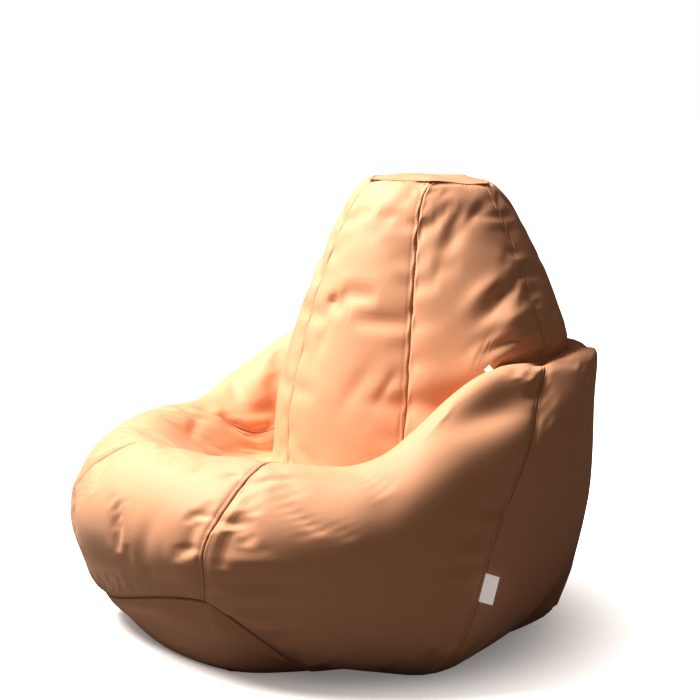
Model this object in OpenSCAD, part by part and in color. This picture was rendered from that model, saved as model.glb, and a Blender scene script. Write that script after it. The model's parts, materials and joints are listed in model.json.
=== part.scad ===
// Bean bag lounge chair: a sewn six-panel cover over a liner full of beads.
// The chair faces -Y, +Z is up and the origin is the middle of the base, on the floor.

/* [Bag] */
// Width of the filled bag at its widest
bag_width = 1000; // [800:10:1200]
// Depth of the filled bag, front to back
bag_depth = 1000; // [800:10:1200]
// Height of the front rim
front_height = 388; // [320:2:480]
// Height of the arms where they meet the backrest
arm_height = 520; // [420:5:640]
// Height of the lowest point of the seat hollow
seat_height = 278; // [220:2:340]
// Height of the backrest's upper front edge
back_height = 856; // [700:1:1030]
// Distance from the middle of the base to the middle of the backrest
back_setback = 215; // [180:5:260]
// Width of the cap on top of the backrest
cap_width = 248; // [200:4:300]
// Turn of the seams between base and rim, in degrees
seam_twist = 30; // [0:1:36]
// How far the two rear corners of the rim stand out
ear_reach = 22; // [0:1:40]

/* [Base] */
// Width of the six-sided base seam, corner to corner
base_width = 850; // [760:10:900]
// Size of the patch that rests on the floor, as a share of the base
contact_share = 0.92; // [0.8:0.01:0.95]
// Height of the base seam along its straight rear side
rear_lift = 24; // [20:1:40]
// Height of the base seam at its front right corner
front_lift = 145; // [60:1:150]
// Share by which the right side of the base is rolled in under the bag
base_tuck = 0.18; // [0:0.01:0.22]
// How far the right side of the belly sags towards the floor
belly_drop = 40; // [0:2:50]

/* [Cover] */
// Thickness of the cover's coated cloth
cover_t = 1.5; // [1:0.1:3]
// Width of the flat hem on each side of the base seam
hem_w = 18; // [16:1:24]
// Distance from a seam to its row of top stitching
stitch_in = 7; // [6:0.5:10]
// Width of the stitching thread
thread_w = 1.2; // [0.8:0.1:2]
// Height that the thread stands above the cloth
thread_h = 0.7; // [0.4:0.1:1.2]

/* [Cover zip] */
// Gap between each end stop and the end of the zip's opening
zip_end_room = 2.8; // [2:0.2:20]
// Gap between the slider and each cover edge beside it
slider_room = 1; // [1:0.1:2]
// Width of each zip tape
tape_w = 13; // [9:1:14]
// Thickness of each zip tape
tape_t = 0.6; // [0.4:0.1:1]
// Width of each row of zip teeth
chain_w = 2; // [1.5:0.1:2.5]
// Thickness of the rows of teeth
chain_t = 2.5; // [2:0.1:3.5]
// Slit between the rows that the slider's web runs in
chain_slit = 1; // [0.8:0.1:1.4]

/* [Zip slider] */
// Length of the slider along the zip
slider_len = 13; // [10:0.5:18]
// Width of the slider across the zip
slider_w = 9; // [8:0.2:11]
// Thickness of each slider plate
plate_t = 1.2; // [0.8:0.1:1.6]
// Gap between the slider's plates and the teeth
slider_gap = 0.25; // [0.15:0.05:0.4]
// Radius of the crossbar that the pull turns on
bar_r = 0.9; // [0.7:0.05:1.2]
// Length of the pull from the crossbar to its tip
pull_len = 27; // [18:1:40]
// Width of the pull
pull_w = 7.5; // [5:0.5:10]
// Thickness of the pull
pull_t = 1.6; // [1:0.1:2.4]

/* [Liner] */
// Thickness of the liner's cloth
liner_t = 0.6; // [0.4:0.1:1.2]
// Gap between the cover and the liner over the panels
liner_gap = 0.8; // [0.6:0.1:2]
// Depth of the liner below the cover at the base seam
liner_drop = 8; // [7:0.5:14]
// Extra depth of the liner in the crease between seat and backrest
crease_drop = 2.5; // [2:0.5:6]
// Length of the liner's zip
liner_zip_len = 150; // [100:2:170]

/* [Carry loop] */
// Width of the carry loop's webbing
loop_w = 25; // [20:1:38]
// Thickness of the carry loop's webbing
loop_t = 1.8; // [1.2:0.1:2.4]
// Length of the loop from its root to the middle of its round end
loop_len = 88; // [60:2:110]
// Outer radius of the loop's round end
loop_r = 15; // [12:0.5:18]

/* [Side label] */
// Length of the label along the seam
label_len = 50; // [30:1:60]
// Width of the label across the seam
label_w = 25; // [15:1:35]
// Thickness of the folded label
label_t = 0.8; // [0.5:0.1:1.5]

/* [Hidden] */

$fn = 48;
tan_cloth = [0.87, 0.66, 0.53];
tan_thread = [0.78, 0.56, 0.43];
brown_tape = [0.55, 0.38, 0.28];
zinc = [0.72, 0.7, 0.66];
liner_white = [0.9, 0.89, 0.86];

corner_angle = 30;
side_angle = 60;
zip_tilt = 45;
hem_rise = hem_w * sin(zip_tilt);
hem_reach = hem_rise / cos(corner_angle);
hem_bulge = 0.012;
zip_end_angle = 28.5;
running_fit = 0.07;
moving_gap = 0.3;

// Parts of the way between two heights
function part_way(low, high, part) = low + (high - low) * part;

// Scale of the outline against its drawn size of one metre
wide = bag_width / 1000;
deep = bag_depth / 1000;
cap_r = cap_width / 2;
base_r = base_width / 2;
stop_len = 3;
zip_len = 2 * (base_r * cos(corner_angle) * tan(zip_end_angle) - stop_len - zip_end_room);
zip_gap = slider_w / 2 + slider_room;
half_twist = seam_twist / 30;
mid_y = back_setback;

// The hoops that the bag is drawn through, from the base seam to the cap seam:
// [middle y, half width, front reach, back reach, front height, back height,
//  turn of the seams, lag of the front right seam, lag of the left seam,
//  six-sidedness, ear]
hoops = [
  [0, base_r, base_r, base_r + 5, 0, 0, 0, -7, 0, 0.8, 0],
  [0, base_r + hem_reach, base_r + hem_reach, base_r + 5 + hem_reach,
    0, 0, 0, -7, 0, 0.8, 0],
  [-5, 480 * wide, 478 * deep, 470 * deep,
    0.34 * front_height, 0.23 * arm_height, 4, -5, 0, 0.5, 0],
  [0, 500 * wide, 500 * deep, 495 * deep,
    0.6 * front_height, 0.5 * arm_height, 10, 0, -4, 0.25, 0],
  [10, 478 * wide, 475 * deep, 500 * deep,
    0.84 * front_height, 0.8 * arm_height, 20, 8, -8, 0.1, 0],
  [40, 400 * wide, 428 * deep, 470 * deep,
    front_height, arm_height, 30, 14, -2, 0, ear_reach],
  [60, 345 * wide, 385 * deep, 435 * deep,
    0.95 * front_height, arm_height + 5, 33, 12, 2, 0, ear_reach],
  [100, 312 * wide, 350 * deep, 385 * deep,
    part_way(seat_height, front_height, 0.29), arm_height + 2, 35, 8, 14, 0, 0],
  [130, 300 * wide, 290 * deep, 350 * deep,
    seat_height, arm_height + 10, 34, 8, 26, 0, 0],
  [170, 300 * wide, 265 * deep, 300 * deep,
    seat_height + 22, arm_height + 40, 31, 6, 30, 0, 0],
  [mid_y - 25, 282 * wide, 268 * deep, 255 * deep,
    part_way(seat_height, back_height, 0.28),
    part_way(arm_height, back_height, 0.28), 28, 2, 15, 0, 0],
  [mid_y - 3, 226 * wide, 240 * deep, 205 * deep,
    part_way(seat_height, back_height, 0.6),
    part_way(arm_height, back_height, 0.52), 26, 0, 5, 0, 0],
  [mid_y, cap_r + 36, cap_r + 52, cap_r + 34,
    part_way(seat_height, back_height, 0.89),
    part_way(arm_height, back_height, 0.83), 27, 0, 0, 0.2, 0],
  [mid_y, cap_r, cap_r + 12, cap_r + 1,
    back_height, back_height - 8, 33, 0, 0, 0.8, 0]
];
top_row = len(hoops) - 1;
contact_row = -2;
// Height of the base seam at its six corners, from the front right one round
corner_lift = [front_lift, 8, rear_lift, rear_lift, 35, 55];

// Rows of the cover's side panels, as places along the list of hoops
stitch_row = stitch_in / hem_w;
stitch_row_end = (stitch_in + thread_w) / hem_w;
panel_rows = [
  0, stitch_row, stitch_row_end, 1, 1.5, 2, 2.5, 3, 3.5, 4, 4.5, 5, 5.5, 6, 6.5,
  7, 8, 8.5, 9, 9.5, 10, 11, 12, top_row
];
inner_rows = [-1, 0, 1, 1.5, 2, 2.5, 3, 3.5, 4, 4.5, 5, 5.5, 6, 6.5, 7, 8, 8.5, 9, 9.5, 10, 11, 12];

function smooth(low, high, x) =
  let (t = min(1, max(0, (x - low) / (high - low)))) t * t * (3 - 2 * t);
function wrapped(a) = a - 360 * floor((a + 180) / 360);
function bell(a, middle, spread) = exp(-pow(wrapped(a - middle) / spread, 2));

// Shape of a regular hexagon with corners at 30 degrees and every 60 from there
function hexagon(s) =
  let (e = s - side_angle * floor((s + 30) / side_angle))
  cos(corner_angle) / cos(e);

// Height of the base seam at the material angle s, eased between its corners
function seam_lift(s) =
  let (
    k = (s - corner_angle) / side_angle,
    f = k - floor(k),
    i = (floor(k) % 6 + 6) % 6,
    eased = i == 0 ? 1 - pow(1 - f, 3.2) : smooth(0, 1, f)
  )
  corner_lift[i] + (corner_lift[(i + 1) % 6] - corner_lift[i]) * eased;

// Share by which a place is away from the rear side, which stays straight for the zip
function off_rear(s) = smooth(30, 62, abs(wrapped(s - 180)));

// Share by which a place belongs to the right side, where the bag has slumped
function slumped(s) = bell(s, 90, 40) * off_rear(s);

// A point on hoop i at the material angle s, which is 0 at the front
function hoop_point(s, i) =
  let (
    h = hoops[i],
    turned = s + h[6] * (i > 1 ? half_twist : 1)
      - h[7] * bell(s, 30, 38) - h[8] * bell(s, 270, 38),
    ears = h[10] / 500 * (bell(turned, 148, 13) + bell(turned, 212, 13)),
    sides = i < 2 ? 1 - (1 - h[9]) * off_rear(s) : h[9],
    q = 1 - sides * (1 - hexagon(s)) + ears - (i < 2 ? base_tuck * slumped(s) : 0),
    reach = cos(turned) > 0 ? h[2] : h[3],
    rise = smooth(0.28, 0.62, (1 - cos(turned)) / 2),
    z = i == 0 ? seam_lift(s)
      : i == 1 ? seam_lift(s) + hem_rise
      : i == 2 ? h[4] + (h[5] - h[4]) * rise + 0.19 * front_lift * bell(s, 30, 30)
        - belly_drop * slumped(s)
      : h[4] + (h[5] - h[4]) * rise
  )
  [h[1] * sin(turned) * q, h[0] - reach * cos(turned) * q, z];

// The base from the floor patch to the base seam, and the cap from its seam inward
function contact_point(s) =
  let (p = hoop_point(s, 0)) [p[0] * contact_share, p[1] * contact_share - 3, 0];
function under_hem_point(s) =
  let (
    p = hoop_point(s, 0), away = off_rear(s), bulge = 1 + hem_bulge * away * p[2] / front_lift,
    kx = part_way((base_r - hem_reach) / base_r, bulge, away),
    ky = part_way((base_r + 5 - hem_reach) / (base_r + 5), bulge, away)
  )
  [p[0] * kx, p[1] * ky, p[2] * (1 - hem_rise / rear_lift)];
function cap_point(s, part) =
  let (p = hoop_point(s, top_row), dome = back_height + 3 + 9 * part)
  [p[0] * (1 - part), part_way(p[1], mid_y, part), part_way(p[2], dome, min(1, part * 1.4))];

function knot(s, i) =
  i == -2 ? contact_point(s)
  : i == -1 ? under_hem_point(s)
  : i == top_row + 1 ? cap_point(s, 0.4)
  : i == top_row + 2 ? cap_point(s, 0.75)
  : hoop_point(s, i);

// The outside of the cover: straight over base, hem and cap, curved in between
function skin(s, v) =
  let (i = floor(v), f = v - i)
  f == 0 ? knot(s, i)
  : v < 1 || v > top_row ? knot(s, i) * (1 - f) + knot(s, i + 1) * f
  : let (
      a = knot(s, i - 1), b = knot(s, i), c = knot(s, i + 1),
      d = knot(s, min(top_row, i + 2))
    )
    b + (c - a) * (f / 2) + (2 * a - 5 * b + 4 * c - d) * (f * f / 2)
      + (3 * b - a - 3 * c + d) * (f * f * f / 2);

function unit(v) = v / norm(v);

// Outward direction at a place; both pieces that meet at a seam share it
function outward(s, v) =
  let (
    low = v > 0 && v <= 1 ? 0 : v <= 0 && v == floor(v) ? v - 0.5
      : v < 0 ? floor(v) : v - 0.2,
    high = v > 0 && v <= 1 ? 1 : v <= 0 && v == floor(v) ? v + 0.5
      : v < 0 ? floor(v) + 1 : min(top_row + 2, v + 0.2),
    along = skin(s, high) - skin(s, low),
    across = skin(s + 0.5, v) - skin(s - 0.5, v)
  )
  unit(cross(across, along));
function below(s, v, depth) = skin(s, v) - outward(s, v) * depth;

// Material angle that covers a distance along hoop v
function spread(distance, v) =
  let (h = hoops[max(0, min(top_row, round(v)))])
  distance * 360 / (PI * (h[1] * 2 + h[2] + h[3]) / 2);

// Columns of a panel about its middle, with its stitching next to its far seam;
// the back panel has two more, where the zip's opening ends
function panel_columns(v, side) = concat(
  side == 3 ? [-30, -zip_end_angle] : [-30],
  [-20, -10, 0, 10, 20],
  side == 3 ? [min(zip_end_angle, 30 - spread(stitch_in + thread_w, v) - 0.3)] : [],
  [30 - spread(stitch_in + thread_w, v), 30 - spread(stitch_in, v), 30]
);
function all_columns(v) = [for (side = [0:5])
  let (c = panel_columns(v, side)) for (j = [0:len(c) - 2]) side * side_angle + c[j]];

// Place of the edge at the base seam, which draws back from the seam along the zip
function edge_row(s, v) =
  v == 0 && abs(wrapped(s - 180)) < zip_end_angle + 0.2 ? zip_gap / hem_w : v;

// A thin solid between two grids of points, outer and inner
module sheet_solid(outer, inner, closed = false) {
  rows = len(outer);
  cols = len(outer[0]);
  n = rows * cols;
  last = closed ? cols - 1 : cols - 2;
  points = [for (g = [outer, inner], r = g, p = r) p];
  function at(r, c) = r * cols + c % cols;
  function quad(a, b, c, d) = [[a, b, c], [a, c, d]];
  quads = concat(
    [for (r = [0:rows - 2], c = [0:last])
      quad(at(r, c), at(r + 1, c), at(r + 1, c + 1), at(r, c + 1))],
    [for (r = [0:rows - 2], c = [0:last])
      quad(n + at(r, c), n + at(r, c + 1), n + at(r + 1, c + 1), n + at(r + 1, c))],
    [for (c = [0:last]) quad(at(0, c), at(0, c + 1), n + at(0, c + 1), n + at(0, c))],
    [for (c = [0:last])
      quad(at(rows - 1, c), n + at(rows - 1, c), n + at(rows - 1, c + 1), at(rows - 1, c + 1))],
    closed ? [] : [for (r = [0:rows - 2])
      quad(at(r + 1, 0), at(r, 0), n + at(r, 0), n + at(r + 1, 0))],
    closed ? [] : [for (r = [0:rows - 2])
      quad(at(r + 1, cols - 1), n + at(r + 1, cols - 1), n + at(r, cols - 1), at(r, cols - 1))]
  );
  polyhedron(points, [for (q = quads, t = q) t], convexity = 10);
}

// A closed skin over a stack of rings; flat_first or flat_last ends it in a flat disc
module disc_solid(outer, inner, flat_first) {
  rows = len(outer);
  cols = len(outer[0]);
  n = rows * cols;
  edge = flat_first ? rows - 1 : 0;
  flat_row = flat_first ? 0 : rows - 1;
  function at(r, c) = r * cols + c % cols;
  function quad(a, b, c, d) = [[a, b, c], [a, c, d]];
  quads = concat(
    [for (r = [0:rows - 2], c = [0:cols - 1])
      quad(at(r, c), at(r + 1, c), at(r + 1, c + 1), at(r, c + 1))],
    [for (r = [0:rows - 2], c = [0:cols - 1])
      quad(n + at(r, c), n + at(r, c + 1), n + at(r + 1, c + 1), n + at(r + 1, c))],
    [for (c = [0:cols - 1]) flat_first
      ? quad(at(edge, c), n + at(edge, c), n + at(edge, c + 1), at(edge, c + 1))
      : quad(at(edge, c), at(edge, c + 1), n + at(edge, c + 1), n + at(edge, c))]
  );
  up = [for (c = [0:cols - 1]) at(flat_row, c)];
  down = [for (c = [cols - 1:-1:0]) at(flat_row, c)];
  flats = flat_first ? [up, [for (i = down) n + i]] : [down, [for (i = up) n + i]];
  polyhedron([for (g = [outer, inner], r = g, p = r) p],
    concat([for (q = quads, t = q) t], flats), convexity = 10);
}

// A closed solid through a stack of rings, with flat ends
module ring_solid(rings) {
  rows = len(rings);
  cols = len(rings[0]);
  function at(r, c) = r * cols + c % cols;
  sides = [for (r = [0:rows - 2], c = [0:cols - 1], t = [0, 1])
    t == 0 ? [at(r, c), at(r + 1, c), at(r + 1, c + 1)]
      : [at(r, c), at(r + 1, c + 1), at(r, c + 1)]];
  polyhedron([for (r = rings, p = r) p], concat(sides,
    [[for (c = [0:cols - 1]) c]], [[for (c = [cols - 1:-1:0]) at(rows - 1, c)]]),
    convexity = 10);
}

// Side panels: one sixth of the cover each, from the base seam to the cap seam
module side_panel(side) {
  function layer(depth) = [for (v = panel_rows) [for (c = panel_columns(v, side))
    let (s = side * side_angle + c, w = edge_row(s, v))
    depth == 0 ? skin(s, w) : below(s, w, depth)]];
  color(tan_cloth) sheet_solid(layer(0), layer(cover_t));
}

// Base panel: flat where it meets the floor, rising to the base seam
module base_panel() {
  cols = all_columns(0);
  outer = [
    [for (s = cols) skin(s, contact_row)],
    [for (s = cols) skin(s, -1)],
    [for (s = cols) skin(s, -edge_row(s, 0))]
  ];
  inner = [
    [for (s = cols) let (p = skin(s, contact_row)) [p[0] * 0.99, p[1] * 0.99, cover_t]],
    [for (s = cols) below(s, -1, cover_t)],
    [for (s = cols) below(s, -edge_row(s, 0), cover_t)]
  ];
  color(tan_cloth) disc_solid(outer, inner, true);
}

// Cap: the small domed panel that closes the top of the backrest
cap_stitch = stitch_in / (0.4 * cap_r);
cap_stitch_end = (stitch_in + thread_w) / (0.4 * cap_r);
cap_rows = [top_row, top_row + cap_stitch, top_row + cap_stitch_end, top_row + 1, top_row + 2];
module top_cap() {
  cols = all_columns(top_row);
  outer = [for (v = cap_rows) [for (s = cols) skin(s, v)]];
  inner = [for (v = cap_rows) v == top_row + 2
    ? [for (s = cols) skin(s, v) - [0, 0, cover_t]]
    : [for (s = cols) below(s, v, cover_t)]];
  color(tan_cloth) disc_solid(outer, inner, false);
}

// Stitching: a raised line of thread beside each seam
module side_thread(side) {
  rows = [for (v = panel_rows) if (v >= 1) v];
  n = len(panel_columns(0, side));
  function line(height) = [for (v = rows) [for (j = [n - 3, n - 2])
    let (s = side * side_angle + panel_columns(v, side)[j])
    height == 0 ? skin(s, v) : below(s, v, -height)]];
  sheet_solid(line(thread_h), line(0));
}
module side_seam_thread() {
  color(tan_thread) for (side = [0:5]) side_thread(side);
}

module base_seam_thread() {
  function line(height) = [for (v = [stitch_row, stitch_row_end])
    [for (s = all_columns(v)) height == 0 ? skin(s, v) : below(s, v, -height)]];
  color(tan_thread) sheet_solid(line(thread_h), line(0), closed = true);
}

module cap_seam_thread() {
  cols = all_columns(top_row);
  function line(height) = [for (v = [cap_rows[1], cap_rows[2]])
    [for (s = cols) height == 0 ? skin(s, v) : below(s, v, -height)]];
  color(tan_thread) sheet_solid(line(thread_h), line(0), closed = true);
}

// Zips are drawn along X with their teeth at the origin and +Z facing outward
web_t = chain_slit - 0.4;
web_len = 2.5;
tape_from = chain_slit / 2 + chain_w;

module zip_tape(length, width, thickness) {
  translate([-length / 2 - stop_len, -tape_from - width, -thickness / 2])
    cube([length + 2 * stop_len, width, thickness]);
}
module zip_teeth(length, thickness) {
  translate([-length / 2, -tape_from, -thickness / 2])
    cube([length, chain_w, thickness]);
}
module zip_end_stops(length, thickness) {
  for (end = [-1, 1])
    translate([end * (length + stop_len) / 2, 0, 0])
      cube([stop_len, 2 * tape_from, thickness], center = true);
}
module slider_body(teeth_t, plate) {
  level = teeth_t / 2 + slider_gap;
  for (side = [-1, 1])
    translate([0, 0, side * (level + plate / 2)])
      cube([slider_len, slider_w, plate], center = true);
  translate([slider_len / 2 - web_len, -web_t / 2, -level - plate / 2])
    cube([web_len, web_t, 2 * level + plate]);
}

// Cover zip: its tapes lie against the inside of the two hems it joins
zip_y = (base_r + 5) * cos(corner_angle);
zip_depth = cover_t + tape_t / 2;
zip_middle = [0, zip_y - zip_depth * cos(zip_tilt), rear_lift + zip_depth * sin(zip_tilt)];
slider_at = (zip_len - slider_len) / 2 - 1;
slider_top = chain_t / 2 + slider_gap + plate_t;
eye_r = bar_r + 1;
bar_level = slider_top + eye_r + moving_gap;
post_gap = 1.8;
post_w = 1;
module at_cover_zip() { translate(zip_middle) rotate([-90 - zip_tilt, 0, 0]) children(); }

module cover_zip_tape_upper() {
  color(brown_tape) at_cover_zip() zip_tape(zip_len, tape_w, tape_t);
}
module cover_zip_tape_lower() {
  color(brown_tape) at_cover_zip() mirror([0, 1, 0]) zip_tape(zip_len, tape_w, tape_t);
}
module cover_zip_teeth_upper() {
  color(tan_thread) at_cover_zip() zip_teeth(zip_len, chain_t);
}
module cover_zip_teeth_lower() {
  color(tan_thread) at_cover_zip() mirror([0, 1, 0]) zip_teeth(zip_len, chain_t);
}
module cover_zip_end_stops() {
  color(zinc) at_cover_zip() zip_end_stops(zip_len, chain_t);
}
module cover_zip_slider() {
  color(zinc) at_cover_zip() translate([slider_at, 0, 0]) {
    slider_body(chain_t, plate_t);
    for (side = [-1, 1])
      translate([-bar_r - 0.4, side * (post_gap + post_w / 2) - post_w / 2, slider_top - 0.2])
        cube([2 * bar_r + 0.8, post_w, bar_level - slider_top + bar_r + 0.4]);
    translate([0, 0, bar_level]) rotate([90, 0, 0])
      cylinder(r = bar_r, h = 2 * post_gap + post_w, center = true);
  }
}
module cover_zip_pull() {
  neck = 2 * (post_gap - moving_gap);
  neck_len = bar_r + 3;
  color(zinc) at_cover_zip() translate([slider_at, 0, bar_level]) difference() {
    union() {
      rotate([90, 0, 0]) cylinder(r = eye_r, h = neck, center = true);
      translate([-neck_len - 1, -neck / 2, -pull_t / 2]) cube([neck_len + 1, neck, pull_t]);
      translate([-pull_len + pull_w / 2, -pull_w / 2, -pull_t / 2])
        cube([pull_len - pull_w / 2 - neck_len, pull_w, pull_t]);
      translate([-pull_len + pull_w / 2, 0, 0])
        cylinder(r = pull_w / 2, h = pull_t, center = true);
    }
    rotate([90, 0, 0]) cylinder(r = bar_r + running_fit, h = neck + 1, center = true);
    translate([-pull_len + pull_w / 2, 0, 0])
      cylinder(r = pull_w / 4, h = pull_t + 1, center = true);
  }
}

// Carry loop: folded webbing that swings on its fold, in the middle of the back panel's top edge
loop_turn = hoops[top_row][6] * half_twist;
loop_seam = skin(180, top_row);
tab_rise = 58.5;
tab_dir = [-sin(loop_turn) * cos(tab_rise), cos(loop_turn) * cos(tab_rise), sin(tab_rise)];
root_r = loop_t;
tab_len = 13;
tab_clear = 1.8 * root_r;
loop_neck = 10;
loop_root = loop_seam + tab_dir * (tab_clear + 3);
loop_hang = 38;
module at_loop(angle) {
  translate(loop_root) rotate([angle, 0, loop_turn]) rotate([90, 0, 90]) children();
}
// Outline of a drop from a narrow end to a round one, for the folded webbing
function drop(narrow, from, large, to) =
  let (tilt = asin((large - narrow) / (to - from)), reach = 90 + tilt, steps = 20)
  concat([[from, -narrow]],
    [for (k = [0:steps]) let (a = reach * (2 * k / steps - 1))
      [to + large * cos(a), large * sin(a)]],
    [[from, narrow]]);
module carry_loop() {
  color(tan_cloth) at_loop(-loop_hang) {
    translate([0, 0, -loop_w / 2]) linear_extrude(loop_w) difference() {
      union() {
        polygon(drop(root_r, loop_neck, loop_r, loop_len));
        translate([0, -root_r]) square([loop_neck + 1, 2 * root_r]);
      }
      polygon(drop(0.3, loop_neck + 6, loop_r - loop_t, loop_len));
    }
    cylinder(r = root_r, h = loop_w, center = true);
  }
}
module carry_loop_tab() {
  color(tan_cloth) at_loop(tab_rise) translate([-tab_clear - tab_len, -root_r, -loop_w / 2])
    cube([tab_len, 2 * root_r, loop_w]);
}

// Label: a plain folded strip caught in the right-hand seam, low on the bag
label_row = 2.35;
label_reach = 0.18;
module side_label() {
  length_at = norm(skin(90, label_row + label_reach) - skin(90, label_row - label_reach));
  k = label_reach * label_len / length_at;
  placed = [label_row - k, label_row, label_row + k];
  function face(height) = [for (v = placed)
    [for (d = [1, label_w / 2, label_w]) below(90 + spread(d, 2), v, -height)]];
  color("white") sheet_solid(face(label_t + 0.05), face(0.05));
}

// Liner and filling: the same outline a little smaller, deepest behind the base seam
liner_floor = cover_t + liner_gap;
liner_roof = back_height - 8 - 10;
roof_room = 5;
function liner_depth(v) =
  v == 0 ? liner_drop : abs(v) == 1 ? liner_drop / 2
  : cover_t + liner_gap + (v > 6 && v < 10 ? crease_drop : 0);
function floor_ring(k, z) =
  [for (s = all_columns(0)) let (p = contact_point(s)) [p[0] * k, p[1] * k, z]];
function roof_ring(in, z) = [for (s = all_columns(top_row))
  let (p = hoop_point(s, top_row), c = [0, mid_y], k = 1 - in / cap_r)
  [p[0] * k, part_way(mid_y, p[1], k), z]];
fill_gap = 0.2;
function inner_ring(v, more) = [for (s = all_columns(v)) below(s, v, liner_depth(v) + more)];

module liner_side_wall() {
  color(liner_white) sheet_solid(
    concat([floor_ring(0.985, liner_floor + liner_t)],
      [for (v = inner_rows) inner_ring(v, 0)], [roof_ring(9, liner_roof)]),
    concat([floor_ring(0.98, liner_floor + liner_t)],
      [for (v = inner_rows) inner_ring(v, liner_t)], [roof_ring(9 + 2 * liner_t, liner_roof)]),
    closed = true);
}
module liner_base() {
  color(liner_white) translate([0, 0, liner_floor])
    linear_extrude(liner_t) polygon([for (p = floor_ring(0.985, 0)) [p[0], p[1]]]);
}
module liner_top() {
  color(liner_white) translate([0, 0, liner_roof]) linear_extrude(liner_t) difference() {
    polygon([for (p = roof_ring(9, 0)) [p[0], p[1]]]);
    translate([0, mid_y]) square([liner_zip_len + 2 * stop_len + 1, 2 * zip_gap], center = true);
  }
}
module bead_filling() {
  rings = [for (v = inner_rows) inner_ring(v, liner_t + fill_gap)];
  last = rings[len(rings) - 1];
  roof = roof_ring(9 + 2 * liner_t, liner_roof);
  level = [for (i = [0:len(roof) - 1])
    let (k = (liner_roof - roof_room - last[i][2]) / (liner_roof - last[i][2]))
    last[i] + (roof[i] - last[i]) * k];
  color("white") ring_solid(
    concat([floor_ring(0.98, liner_floor + liner_t)], rings, [level]));
}

// Liner zip: a small one without a pull, across the liner's top
liner_chain_t = 1.6;
liner_tape_t = 0.5;
liner_tape_w = 9;
liner_plate_t = 0.8;
liner_zip_middle = [0, mid_y, liner_roof - liner_tape_t / 2];
liner_slider_at = (liner_zip_len - slider_len) / 2 - 1;
module at_liner_zip() { translate(liner_zip_middle) children(); }

module liner_zip_tapes() {
  color(liner_white) at_liner_zip() for (side = [0, 1])
    mirror([0, side, 0]) zip_tape(liner_zip_len, liner_tape_w, liner_tape_t);
}
module liner_zip_teeth() {
  color(liner_white) at_liner_zip() for (side = [0, 1])
    mirror([0, side, 0]) zip_teeth(liner_zip_len, liner_chain_t);
}
module liner_zip_end_stops() {
  color(zinc) at_liner_zip() zip_end_stops(liner_zip_len, liner_chain_t);
}
module liner_zip_slider() {
  color(zinc) at_liner_zip() translate([liner_slider_at, 0, 0])
    slider_body(liner_chain_t, liner_plate_t);
}

side_panel(0);  // front_panel
side_panel(1);  // front_right_panel
side_panel(2);  // back_right_panel
side_panel(3);  // back_panel
side_panel(4);  // back_left_panel
side_panel(5);  // front_left_panel
base_panel();
top_cap();
side_seam_thread();
base_seam_thread();
cap_seam_thread();
cover_zip_tape_upper();
cover_zip_tape_lower();
cover_zip_teeth_upper();
cover_zip_teeth_lower();
cover_zip_end_stops();
cover_zip_slider();
cover_zip_pull();
carry_loop_tab();
carry_loop();
side_label();
liner_side_wall();
liner_base();
liner_top();
liner_zip_tapes();
liner_zip_teeth();
liner_zip_end_stops();
liner_zip_slider();
bead_filling();
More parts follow.
